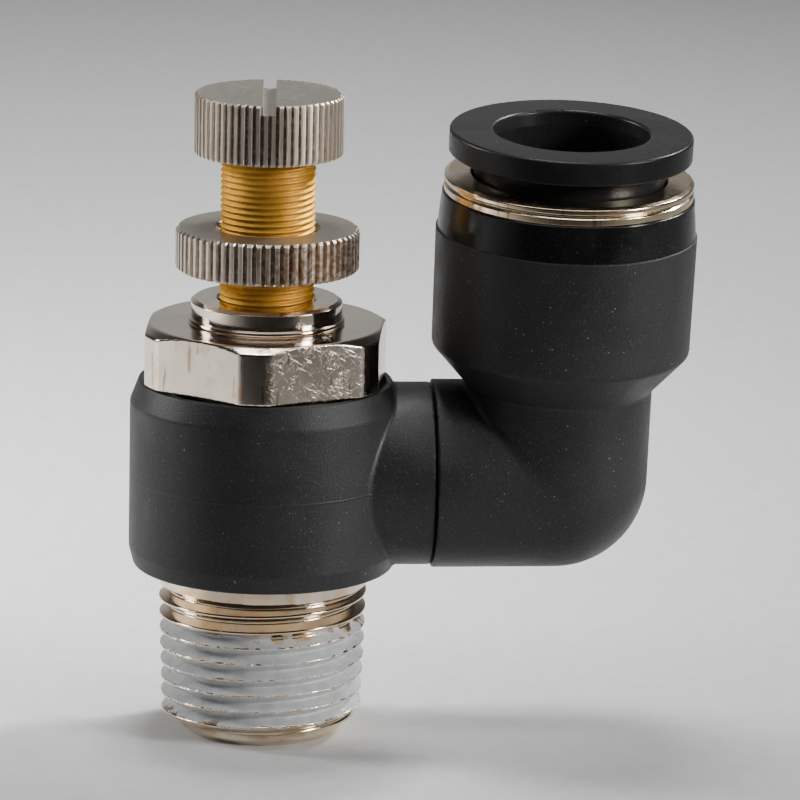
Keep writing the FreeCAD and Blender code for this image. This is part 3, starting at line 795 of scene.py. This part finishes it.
def barrel_distance(points, low, high, radius, stub_end):
    shell = turned_about_z(
        points,
        [
            (0, low, 0),
            (BARREL_FOOT_RADIUS, low, 0.3),
            (radius, low + BARREL_FOOT_HEIGHT, 0.6),
            (radius, high - BARREL_SHOULDER_DROP, 0.5),
            (BARREL_RIM_RADIUS, high, 0.1),
            (0, high, 0),
        ],
    )
    stub = turned_about_x(
        points,
        [(0, STUB_START, 0), (0, stub_end, 0), (STUB_RADIUS, stub_end, 0.12), (STUB_RADIUS, STUB_START, 0)],
        ARM_HEIGHT,
    )
    solid = joined(shell, stub, 0.25)
    channel_radius, channel_half = BARREL_CHANNEL
    bore = turned_about_z(
        points,
        [
            (0, low - PAST, 0),
            (BARREL_BORE + BORE_CHAMFER, low - PAST, 0),
            (BARREL_BORE + BORE_CHAMFER, low, 0),
            (BARREL_BORE, low + BORE_CHAMFER, 0),
            (BARREL_BORE, ARM_HEIGHT - channel_half, 0),
            (channel_radius, ARM_HEIGHT - channel_half, 0),
            (channel_radius, ARM_HEIGHT + channel_half, 0),
            (BARREL_BORE, ARM_HEIGHT + channel_half, 0),
            (BARREL_BORE, high - RIM_RECESS, 0),
            (BARREL_RIM_RADIUS - RIM_WALL, high - RIM_RECESS, 0),
            (BARREL_RIM_RADIUS - RIM_WALL, high + PAST, 0),
            (0, high + PAST, 0),
        ],
    )
    past_end = stub_end + PAST
    passage = turned_about_x(
        points,
        [(0, STUB_START, 0), (ARM_BORE, STUB_START, 0), (ARM_BORE, past_end, 0), (0, past_end, 0)],
        ARM_HEIGHT,
    )
    return cut(cut(solid, bore, 0.14), passage, 0.1)


def make_barrel(material):
    low, high = (Vector(corner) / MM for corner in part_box("swivel_barrel"))
    radius = -low.x
    shell = skin(
        lambda points: barrel_distance(points, low.z, high.z, radius, high.x),
        (-radius, -radius, low.z),
        (high.x, radius, high.z),
        BARREL_CELL,
    )
    add_piece("barrel", [shell], "swivel_barrel", material)


# Elbow, drawn about its own centre
ELBOW_ARM = 10.06
ELBOW_RIM_RADIUS = 7.7
ELBOW_RADIUS = 7.65
ELBOW_SOCKET = (5.45, 4.75)
CREASE_FILLET = 0.35
FLOW_RADIUS = 4.4
TUBE_FLOW_RADIUS = 5.0
CONE_START = 7.8
CONE_END = 11.0
SLEEVE_LOW_RADIUS = 10.5
TUBE_STOP = 7.5
SOCKET_RADIUS = 6.1
SOCKET_TOP = 11.5
CAVITY_RADIUS = 9.0
SLEEVE_PROUD = 0.08
ELBOW_CELL = 0.21


def elbow_distance(points, top, radius):
    across = np.array(Matrix.Rotation(TILT, 3, "Y"))
    level = points @ across.T
    arm = turned_about_x(
        level,
        [
            (0, -ELBOW_ARM, 0),
            (ELBOW_RIM_RADIUS, -ELBOW_ARM, 0.14),
            (ELBOW_RADIUS, 0, 0),
            (0, 0, 0),
        ],
        0,
    )
    corner = np.linalg.norm(points, axis=1) - ELBOW_RADIUS
    head = turned_about_z(
        points,
        [
            (0, 0, 0),
            (ELBOW_RADIUS, 0, 0),
            (ELBOW_RADIUS, CONE_START, 0.5),
            (SLEEVE_LOW_RADIUS, CONE_END, 0.6),
            (radius, top, 0.12),
            (0, top, 0),
        ],
    )
    fillet = CREASE_FILLET * np.clip(-level[:, 0] / 3, 0.02, 1)
    solid = np.minimum(joined(arm, head, fillet), corner)
    socket_radius, socket_depth = ELBOW_SOCKET
    socket = turned_about_x(
        level,
        [
            (0, -ELBOW_ARM - PAST, 0),
            (socket_radius, -ELBOW_ARM - PAST, 0),
            (socket_radius, socket_depth - ELBOW_ARM, 0),
            (FLOW_RADIUS, socket_depth - ELBOW_ARM, 0),
            (FLOW_RADIUS, 0, 0),
            (0, 0, 0),
        ],
        0,
    )
    bend = np.linalg.norm(points, axis=1) - TUBE_FLOW_RADIUS
    bore = turned_about_z(
        points,
        [
            (0, 0, 0),
            (TUBE_FLOW_RADIUS, 0, 0),
            (TUBE_FLOW_RADIUS, TUBE_STOP, 0),
            (SOCKET_RADIUS, TUBE_STOP, 0),
            (SOCKET_RADIUS, SOCKET_TOP, 0),
            (CAVITY_RADIUS, SOCKET_TOP, 0),
            (CAVITY_RADIUS, top + PAST, 0),
            (0, top + PAST, 0),
        ],
    )
    hollow = np.minimum(np.minimum(socket, bend), bore)
    return cut(solid, hollow, 0.1)


def make_elbow(material):
    size = Extent("elbow", ELBOW_FRAME)
    radius = Extent("head_cap", ELBOW_FRAME).outer + SLEEVE_PROUD
    shell = skin(
        lambda points: elbow_distance(points, size.high, radius),
        (-radius, -radius, -ELBOW_RIM_RADIUS - 0.3),
        (radius, radius, size.high),
        ELBOW_CELL,
    )
    add_piece("elbow_body", [shell.moved(ELBOW_FRAME)], "elbow", material)


# Push-in head
def make_head_cap(material):
    size = Extent("head_cap", ELBOW_FRAME)
    corners = [
        (size.inner, size.low, 0),
        (size.outer - 0.05, size.low, 0.06),
        (size.outer - 0.3, size.high, 0.12),
        (size.inner, size.high, 0),
    ]
    add_piece("cap_band", [lathe(corners).moved(ELBOW_FRAME)], "head_cap", material)


def make_guide_ring(material):
    size = Extent("guide_ring", ELBOW_FRAME)
    band_low = Extent("head_cap", ELBOW_FRAME).high
    middle = (band_low + size.high) / 2
    corners = [
        (size.inner, size.low, 0.05),
        (CAVITY_RADIUS, size.low, 0.05),
        (CAVITY_RADIUS, band_low, 0),
        (size.outer - 0.05, band_low, 0.1),
        (size.outer, band_low + 0.1, 0.1),
        (size.outer, middle - 0.2, 0.1),
        (size.outer - 0.22, middle, 0.06),
        (size.outer, middle + 0.2, 0.1),
        (size.outer, size.high - 0.2, 0.18),
        (size.outer - 0.35, size.high, 0.15),
        (size.inner + 0.2, size.high, 0.1),
        (size.inner, size.high - 0.3, 0.1),
    ]
    add_piece("metal_band", [lathe(corners).moved(ELBOW_FRAME)], "guide_ring", material)


RELEASE_FLANGE = 2.0
RELEASE_NECK = 7.75
RELEASE_SKIRT = 7.4


def make_release(material):
    size = Extent("release_ring", ELBOW_FRAME)
    flange_low = size.high - RELEASE_FLANGE
    corners = [
        (size.inner, size.low, 0.1),
        (RELEASE_SKIRT - 0.4, size.low, 0.1),
        (RELEASE_SKIRT, size.low + 0.7, 0.1),
        (RELEASE_SKIRT + 0.7, size.low + 1.2, 0.1),
        (RELEASE_SKIRT + 0.7, size.low + 1.8, 0.1),
        (RELEASE_NECK, size.low + 1.95, 0.1),
        (RELEASE_NECK, flange_low, 0.25),
        (size.outer, flange_low, 0.2),
        (size.outer, size.high, 0.28),
        (size.inner + 0.15, size.high, 0.3),
        (size.inner, size.high - 1.2, 0.5),
    ]
    add_piece("release_button", [lathe(corners, steps=8).moved(ELBOW_FRAME)], "release_ring", material)


# ---- materials


# Colours of the nickel plate and of what shows on it and through it, with the painted shade of its upward faces
# and of its knurl valleys
PLATE_LIGHT = (0.74, 0.65, 0.55)
PLATE_DARK = (0.66, 0.57, 0.475)
THIN_PLATE = (0.77, 0.60, 0.38)
# Painted shade: faces that look up are darkened towards this colour
PAINTED_TOP_SHADE = (0.25, 0.235, 0.205)
STAIN = (0.34, 0.23, 0.13)
# Painted shade: the knurl's valleys are darkened towards this colour
VALLEY_SHADE = (0.15, 0.13, 0.11)
RUST = (0.28, 0.14, 0.06)
WORN_EDGE = (0.74, 0.49, 0.30)
# Directions of the plate's hairlines, as angles from the upright
HAIRLINE_SLANTS = tuple(math.radians(degrees) for degrees in (12, 47, 78, -33, -64))
# Heights on the bolt over which its thin golden plate ends, and over which its stained streaks begin
BARE_HEIGHTS = (12.0, 15.0)
STREAKED_HEIGHTS = (27.0, 28.5)
# Distances from the axis between which the hexagon's flats count as scuffed
FLAT_REACH = (9.3, 9.45)

BRASS_LIGHT = (0.72, 0.43, 0.085)
BRASS_DARK = (0.56, 0.32, 0.055)
# Painted shade of the thread's roots and of the spindle's plain faces
BRASS_ROOT_SHADE = (0.33, 0.17, 0.035)
BRASS_EDGE_TINT = (0.95, 0.66, 0.28, 1)

RESIN_BLACK = (0.0135, 0.0135, 0.014)
CAP_BLACK = (0.004, 0.004, 0.0045)
RELEASE_BLACK = (0.009, 0.009, 0.0095)
GLASS_FLECK = (0.075, 0.077, 0.078)
DUST = (0.26, 0.26, 0.25)

# The sealant's heights on the taper thread, the depth of its ragged ends and its colours
SEALANT_END = (9.3, 9.6)
SEALANT_START = (1.9, 2.1)
SEALANT_RAGGED = 2.6
SEALANT_DARK = (0.42, 0.43, 0.435)
SEALANT_LIGHT = (0.52, 0.53, 0.53)
SEALANT_ROUGHNESS = 0.32


def new_material(name):
    material = bpy.data.materials.new(name)
    material.use_nodes = True
    return material, material.node_tree


def feed(tree, value, socket):
    if isinstance(value, bpy.types.NodeSocket):
        tree.links.new(value, socket)
    else:
        socket.default_value = value


def add(tree, kind, inputs=(), **settings):
    """Add a node: settings are its properties, and inputs pair a socket's name with what feeds it."""
    node = tree.nodes.new(kind)
    for key, value in settings.items():
        setattr(node, key, value)
    for key, value in inputs:
        feed(tree, value, node.inputs[key])
    return node


def stretched(tree, stretch=(1, 1, 1), turn=(0, 0, 0)):
    """Object coordinates in a turned frame, in which features come out stretched along the axes."""
    coordinates = add(tree, "ShaderNodeTexCoord").outputs["Object"]
    inputs = [("Vector", coordinates), ("Scale", stretch), ("Rotation", turn)]
    return add(tree, "ShaderNodeMapping", inputs, vector_type="TEXTURE").outputs["Vector"]


def grain(tree, size, detail=3.0, roughness=0.55, stretch=(1, 1, 1), turn=(0, 0, 0)):
    """Noise whose features are about size millimetres across."""
    inputs = [
        ("Vector", stretched(tree, stretch, turn)),
        ("Scale", 1 / (size * MM)),
        ("Detail", detail),
        ("Roughness", roughness),
    ]
    return add(tree, "ShaderNodeTexNoise", inputs).outputs["Fac"]


def spread(tree, value, low, high, to_low=0.0, to_high=1.0):
    """Map low..high smoothly to to_low..to_high, and hold it there outside."""
    inputs = [
        ("Value", value),
        ("From Min", low),
        ("From Max", high),
        ("To Min", to_low),
        ("To Max", to_high),
    ]
    return add(tree, "ShaderNodeMapRange", inputs, interpolation_type="SMOOTHSTEP").outputs["Result"]


def math_node(tree, operation, first, second=0.0):
    return add(tree, "ShaderNodeMath", [(0, first), (1, second)], operation=operation).outputs["Value"]


def times(tree, first, second):
    return math_node(tree, "MULTIPLY", first, second)


def shader_inputs(tree):
    return tree.nodes["Principled BSDF"].inputs


def set_surface(tree, colour, metallic, roughness, normal):
    """Set the shader's own sockets, and link to them what varies over the surface."""
    inputs = shader_inputs(tree)
    feed(tree, colour, inputs["Base Color"])
    feed(tree, metallic, inputs["Metallic"])
    feed(tree, roughness, inputs["Roughness"])
    feed(tree, normal, inputs["Normal"])


def blend(tree, share, first, second):
    node = add(tree, "ShaderNodeMix", data_type="RGBA")
    feed(tree, share, node.inputs[0])
    for index, colour in ((6, first), (7, second)):
        feed(tree, (*colour, 1) if isinstance(colour, tuple) else colour, node.inputs[index])
    return node.outputs[2]


def bump(tree, height, depth, under=None):
    """Bump whose full height is depth millimetres, over the bump under it."""
    inputs = [("Height", height), ("Distance", depth * MM)]
    if under is not None:
        inputs.append(("Normal", under))
    return add(tree, "ShaderNodeBump", inputs).outputs["Normal"]


def edge_mark(tree):
    return add(tree, "ShaderNodeAttribute", attribute_name="edge").outputs["Fac"]


def scratches(tree, facing):
    """Straight hairlines in several directions, on the faces whose outward azimuth is about facing."""
    lines = 0.0
    for slant in HAIRLINE_SLANTS:
        turn = (0.0, slant, facing + math.pi / 2)
        hairs = spread(tree, grain(tree, 0.055, 0.0, 0.5, (1, 1, 16), turn), 0.63, 0.80)
        lines = math_node(tree, "MAXIMUM", lines, hairs)
    return lines


def height_above_floor(tree):
    return add(tree, "ShaderNodeSeparateXYZ", [("Vector", stretched(tree))]).outputs["Z"]


def across_heights(tree, height, heights, below, above):
    """Change smoothly from one value to another over a pair of heights in millimetres."""
    low, high = heights
    return spread(tree, height, low * MM, high * MM, below, above)


def level_share(tree):
    """1 where the surface faces straight up, 0 where it stands upright."""
    normal = add(tree, "ShaderNodeTexCoord").outputs["Normal"]
    return spread(tree, add(tree, "ShaderNodeSeparateXYZ", [("Vector", normal)]).outputs["Z"], 0.5, 0.9)


def on_side(tree, azimuth, low, high):
    """0 nearer the axis than low in the direction of azimuth, 1 beyond high."""
    direction = (math.cos(azimuth), math.sin(azimuth), 0)
    reach = add(tree, "ShaderNodeVectorMath", [(0, stretched(tree)), (1, direction)], operation="DOT_PRODUCT")
    return spread(tree, reach.outputs["Value"], low * MM, high * MM)


def scuffs(tree, patches, scratch, scuffed_flat):
    """Hairlines in patches all over, or mostly on one flat of the hexagon."""
    if scuffed_flat is None:
        return times(tree, scratches(tree, -math.pi / 2), spread(tree, patches, 0.45, 0.65, 0, scratch))
    rubbed = spread(tree, patches, 0.4, 0.6, 0.55, 1.0)
    on_flat = spread(tree, on_side(tree, scuffed_flat, *FLAT_REACH), 0, 1, 0.2, scratch)
    return times(tree, scratches(tree, scuffed_flat), times(tree, rubbed, on_flat))


def nickel_material(
    name, roughness, stain, scratch=0.3, rust=0.0, golden=0.0, scuffed_flat=None, painted_top_shade=0.0
):
    """Worn nickel plate over brass: soft stains, hairlines, copper on the edges, painted shade in the knurl's
    valleys and, when asked, painted shade on the faces that look up.

    scuffed_flat is the azimuth of the flat that has most of the hairlines, on the bolt only.
    """
    material, tree = new_material(name)
    cloud = grain(tree, 3.5)
    patches = grain(tree, 1.4)
    mottle = grain(tree, 0.45, 4.0)
    edge = edge_mark(tree)
    level = level_share(tree)
    upright = math_node(tree, "SUBTRACT", 1.0, level)
    streaks = spread(tree, grain(tree, 0.4, 2.0, 0.5, (1, 1, 9)), 0.62, 0.67, 0, stain * 1.5)
    if scuffed_flat is not None:
        streaks = times(tree, streaks, across_heights(tree, height_above_floor(tree), STREAKED_HEIGHTS, 0, 1))
    colour = blend(tree, spread(tree, cloud, 0.35, 0.65), PLATE_LIGHT, PLATE_DARK)
    if golden:
        thin = spread(tree, cloud, 0.35, 0.6, golden * 0.4, golden)
        if scuffed_flat is not None:
            thin = times(tree, thin, across_heights(tree, height_above_floor(tree), BARE_HEIGHTS, 1, 0))
        colour = blend(tree, thin, colour, THIN_PLATE)
    stained = math_node(tree, "MAXIMUM", spread(tree, patches, 0.52, 0.75, 0, stain * 0.5), streaks)
    colour = blend(tree, times(tree, stained, upright), colour, STAIN)
    # Painted shade: the faces that look up are darkened by the share given
    if painted_top_shade:
        colour = blend(tree, times(tree, level, painted_top_shade), colour, PAINTED_TOP_SHADE)
    # Painted shade in the knurl's valleys, of mottled strength
    valley_shade_share = spread(tree, mottle, 0.3, 0.6, 0.4, 0.85)
    colour = blend(tree, times(tree, spread(tree, edge, -0.95, -0.25, 1, 0), valley_shade_share), colour, VALLEY_SHADE)
    if rust:
        patch = times(tree, on_side(tree, 0.0, -3, 2), spread(tree, mottle, 0.4, 0.58, 0, rust))
        colour = blend(tree, times(tree, patch, upright), colour, RUST)
    worn = times(tree, spread(tree, edge, 0.35, 0.85), spread(tree, patches, 0.54, 0.62))
    colour = blend(tree, worn, colour, WORN_EDGE)
    lines = scuffs(tree, patches, scratch, scuffed_flat)
    rough = spread(tree, mottle, 0.3, 0.75, roughness - 0.02, roughness + 0.05)
    rough = math_node(tree, "ADD", rough, times(tree, lines, 0.35))
    ripple = bump(tree, grain(tree, 1.6, 2.0), 0.004)
    set_surface(tree, colour, 1.0, rough, bump(tree, lines, -0.006, ripple))
    return material


def brass_material():
    """Bare turned brass, with painted shade in the thread's roots and on the plain faces, leaving the crests and
    rounded edges lighter.
    """
    material, tree = new_material("bare_brass")
    cloud = grain(tree, 2.2, 4.0)
    fine = grain(tree, 0.2, 4.0)
    golden = blend(tree, spread(tree, cloud, 0.35, 0.7), BRASS_LIGHT, BRASS_DARK)
    # Painted shade: darkest in the thread's roots and on plain faces, none on crests and rounded edges
    root = math_node(tree, "SUBTRACT", 1.0, edge_mark(tree))
    root_shade = times(tree, root, spread(tree, fine, 0.3, 0.7, 0.25, 0.6))
    rough = spread(tree, fine, 0.3, 0.7, 0.52, 0.64)
    set_surface(tree, blend(tree, root_shade, golden, BRASS_ROOT_SHADE), 1.0, rough, bump(tree, fine, 0.008))
    shader_inputs(tree)["Specular Tint"].default_value = BRASS_EDGE_TINT
    return material


def resin_material(name, colour, roughness, grain_depth, speckle, gloss=0.33):
    """Black moulded resin: a fine eroded grain, glass flecks in it and a little dust."""
    material, tree = new_material(name)
    cloud = grain(tree, 6.0)
    fine = grain(tree, 0.17, 3.0, 0.6)
    flecks = spread(tree, grain(tree, 0.1, 1.0, 0.4), 0.64, 0.74, 0, speckle)
    dust = spread(tree, grain(tree, 0.2, 1.0, 0.3), 0.775, 0.8, 0, speckle)
    paler = tuple(channel * 1.3 for channel in colour)
    flecked = blend(tree, flecks, blend(tree, spread(tree, cloud, 0.3, 0.7), colour, paler), GLASS_FLECK)
    rubbed = spread(tree, cloud, 0.4, 0.6, roughness - 0.05, roughness + 0.06)
    rough = math_node(tree, "ADD", rubbed, spread(tree, fine, 0.3, 0.7, -0.03, 0.03))
    set_surface(tree, blend(tree, dust, flecked, DUST), 0.0, rough, bump(tree, fine, grain_depth))
    shader_inputs(tree)["Specular IOR Level"].default_value = gloss
    return material


def moulded_material(name, line_height):
    """The resin of the barrel, with the mould's faint parting line around it."""
    material = resin_material(name, RESIN_BLACK, 0.5, 0.03, 0.7)
    tree = material.node_tree
    normal = shader_inputs(tree)["Normal"]
    above_line = math_node(tree, "SUBTRACT", height_above_floor(tree), line_height * MM)
    line = across_heights(tree, math_node(tree, "ABSOLUTE", above_line), (0.03, 0.11), 1, 0)
    feed(tree, bump(tree, line, 0.03, normal.links[0].from_socket), normal)
    return material


def plain_material(name, colour, metallic, roughness, size, depth):
    """Slightly uneven colour and gloss with a fine grain, for the inner pieces and the floor."""
    material, tree = new_material(name)
    fine = grain(tree, size, 4.0)
    tint = blend(tree, fine, tuple(channel * 0.8 for channel in colour), colour)
    rough = spread(tree, fine, 0.3, 0.7, roughness - 0.06, roughness + 0.06)
    set_surface(tree, tint, metallic, rough, bump(tree, fine, depth))
    return material


def stem_material():
    """Nickel plate, with the grey sealant on the taper thread rubbed off its crests."""
    scuffed_flat = HEX_TURN - math.radians(120)
    material = nickel_material("stem_plate", 0.1, 0.5, 0.8, golden=0.55, scuffed_flat=scuffed_flat)
    tree = material.node_tree
    inputs = shader_inputs(tree)
    plate, plate_rough, plate_normal = (
        inputs[name].links[0].from_socket for name in ("Base Color", "Roughness", "Normal")
    )
    uneven = math_node(tree, "SUBTRACT", grain(tree, 1.6, 4.0, 0.65), 0.5)
    line = math_node(tree, "ADD", height_above_floor(tree), times(tree, uneven, SEALANT_RAGGED * MM))
    under_end = across_heights(tree, line, SEALANT_END, 1, 0)
    coated = times(tree, under_end, across_heights(tree, line, SEALANT_START, 0, 1))
    rubbed = math_node(tree, "ADD", edge_mark(tree), times(tree, grain(tree, 0.6, 5.0, 0.7), 0.9))
    coated = times(tree, coated, spread(tree, rubbed, 1.38, 1.47, 1, 0))
    tint = blend(tree, spread(tree, grain(tree, 1.2), 0.35, 0.65), SEALANT_DARK, SEALANT_LIGHT)
    matted = times(tree, math_node(tree, "SUBTRACT", SEALANT_ROUGHNESS, plate_rough), coated)
    thickness = times(tree, grain(tree, 0.5), coated)
    set_surface(
        tree,
        blend(tree, coated, plate, tint),
        math_node(tree, "SUBTRACT", 1.0, coated),
        math_node(tree, "ADD", plate_rough, matted),
        bump(tree, thickness, 0.025, plate_normal),
    )
    return material


# ---- inner pieces, as the CAD made them

SLOT_FINISH = {
    "bare_brass": plain_material("turned_brass", (0.80, 0.50, 0.20), 1.0, 0.3, 0.4, 0.004),
    "spring_steel": plain_material("spring_steel", (0.62, 0.61, 0.60), 1.0, 0.25, 0.5, 0.004),
    "white_resin": plain_material("white_acetal", (0.72, 0.70, 0.65), 0.0, 0.4, 0.5, 0.01),
    "black_rubber": plain_material("nitrile_rubber", (0.02, 0.02, 0.02), 0.0, 0.45, 0.2, 0.01),
}

make_stem(stem_material())
make_guide(nickel_material("collar_plate", 0.06, 0.1))
# The knob's and the nut's tops get painted shade
make_knob(nickel_material("knob_plate", 0.40, 0.2, painted_top_shade=0.9))
make_lock_nut(nickel_material("nut_plate", 0.38, 0.5, rust=0.75, painted_top_shade=0.8))
make_spindle(brass_material())
make_barrel(moulded_material("barrel_resin", ARM_HEIGHT))
make_elbow(resin_material("elbow_resin", RESIN_BLACK, 0.5, 0.03, 0.7))
make_head_cap(resin_material("cap_resin", CAP_BLACK, 0.2, 0.004, 0.3, gloss=0.5))
make_guide_ring(nickel_material("band_plate", 0.16, 0.5, golden=0.8))
make_release(resin_material("release_resin", RELEASE_BLACK, 0.33, 0.01, 0.25, gloss=0.17))

for node, slot in SLOT_OF.items():
    piece = frame["nodes"][node]
    if not piece.hide_render:
        piece.data.materials.clear()
        piece.data.materials.append(SLOT_FINISH[slot])


# ---- studio


def make_floor():
    """A pale floor that sweeps up into a backdrop."""
    reach = 3.0
    turn_start = 0.9
    radius = 0.5
    steps = 24
    wall_top = 2.0
    outline = [(-reach, 0.0), (turn_start, 0.0)]
    for step in range(1, steps + 1):
        angle = step / steps * math.pi / 2
        outline.append((turn_start + radius * math.sin(angle), radius * (1 - math.cos(angle))))
    outline.append((turn_start + radius, wall_top))
    vertices = [(side * reach, along, up) for along, up in outline for side in (-1, 1)]
    faces = [(2 * row, 2 * row + 1, 2 * row + 3, 2 * row + 2) for row in range(len(outline) - 1)]
    mesh = bpy.data.meshes.new("studio_floor")
    mesh.from_pydata(vertices, [], faces)
    mesh.polygons.foreach_set("use_smooth", np.ones(len(faces), bool))
    floor = bpy.data.objects.new("studio_floor", mesh)
    bpy.context.scene.collection.objects.link(floor)
    floor.data.materials.append(plain_material("paper", (0.6, 0.6, 0.6), 0.0, 0.85, 2.0, 0.01))


def make_light(name, location, aim, size, power, spread_degrees):
    """A softbox with a grid, which keeps its light within a spread."""
    light = bpy.data.lights.new(name, "AREA")
    light.shape = "RECTANGLE"
    light.size, light.size_y = size
    light.energy = power
    light.spread = math.radians(spread_degrees)
    lamp = bpy.data.objects.new(name, light)
    lamp.location = location
    lamp.rotation_euler = (Vector(aim) - Vector(location)).to_track_quat("-Z", "Y").to_euler()
    bpy.context.scene.collection.objects.link(lamp)


CAMERA_TURN = math.radians(4.66)
CAMERA_PITCH = math.radians(13.39)
CAMERA_ROLL = math.radians(1.13)
CAMERA_DISTANCE = 0.5286
CAMERA_LENS = 292.5
CAMERA_AIM = Vector((0.01096, 0, 0.02767))


def make_camera():
    """Look along +Y from slightly above, a little to the left of the arm's square-on view."""
    back = Vector((0, -math.cos(CAMERA_PITCH), math.sin(CAMERA_PITCH)))
    right = Vector((1, 0, 0))
    up = back.cross(right)
    rolled_right = right * math.cos(CAMERA_ROLL) + up * math.sin(CAMERA_ROLL)
    rolled_up = up * math.cos(CAMERA_ROLL) - right * math.sin(CAMERA_ROLL)
    basis = Matrix((rolled_right, rolled_up, back)).transposed().to_4x4()
    spot = Matrix.Translation(CAMERA_AIM + back * CAMERA_DISTANCE)
    camera = bpy.data.objects.new("camera", bpy.data.cameras.new("camera"))
    camera.matrix_world = Matrix.Rotation(-CAMERA_TURN, 4, "Z") @ spot @ basis
    camera.data.lens = CAMERA_LENS
    camera.data.clip_start = 0.01
    bpy.context.scene.collection.objects.link(camera)
    bpy.context.scene.camera = camera


def make_studio():
    make_floor()
    # Name, place, point aimed at, width and height, power and spread, in metres, watts and degrees
    make_light("top_softbox", (0, 0.09, 0.46), (0, 0.17, 0), (0.12, 0.12), 0.48, 69)
    make_light("ceiling_softbox", (0, -0.07, 0.24), (0, 1, 0.24), (0.30, 0.10), 0.55, 180)
    make_light("backdrop_softbox", (-0.1, 0.75, 0.38), (-0.1, 1.4, 0.34), (0.70, 0.30), 3.0, 160)
    make_light("right_softbox", (0.30, 0.24, 0.34), (-0.14, 0.02, 0), (0.14, 0.14), 0.34, 26)
    make_light("front_softbox", (0.40, -0.22, 0.16), (0.01, 0, 0.03), (0.10, 0.14), 0.06, 20)
    make_light("left_softbox", (-0.36, 0.12, 0.20), (0, 0.02, 0.03), (0.10, 0.12), 0.05, 30)
    make_light("pool_softbox", (-0.36, -0.05, 0.20), (-0.15, -0.01, 0), (0.07, 0.07), 0.045, 22)
    world = bpy.data.worlds.new("studio")
    world.use_nodes = True
    background = world.node_tree.nodes["Background"]
    background.inputs["Color"].default_value = (0.03, 0.03, 0.03, 1)
    bpy.context.scene.world = world


make_studio()
make_camera()
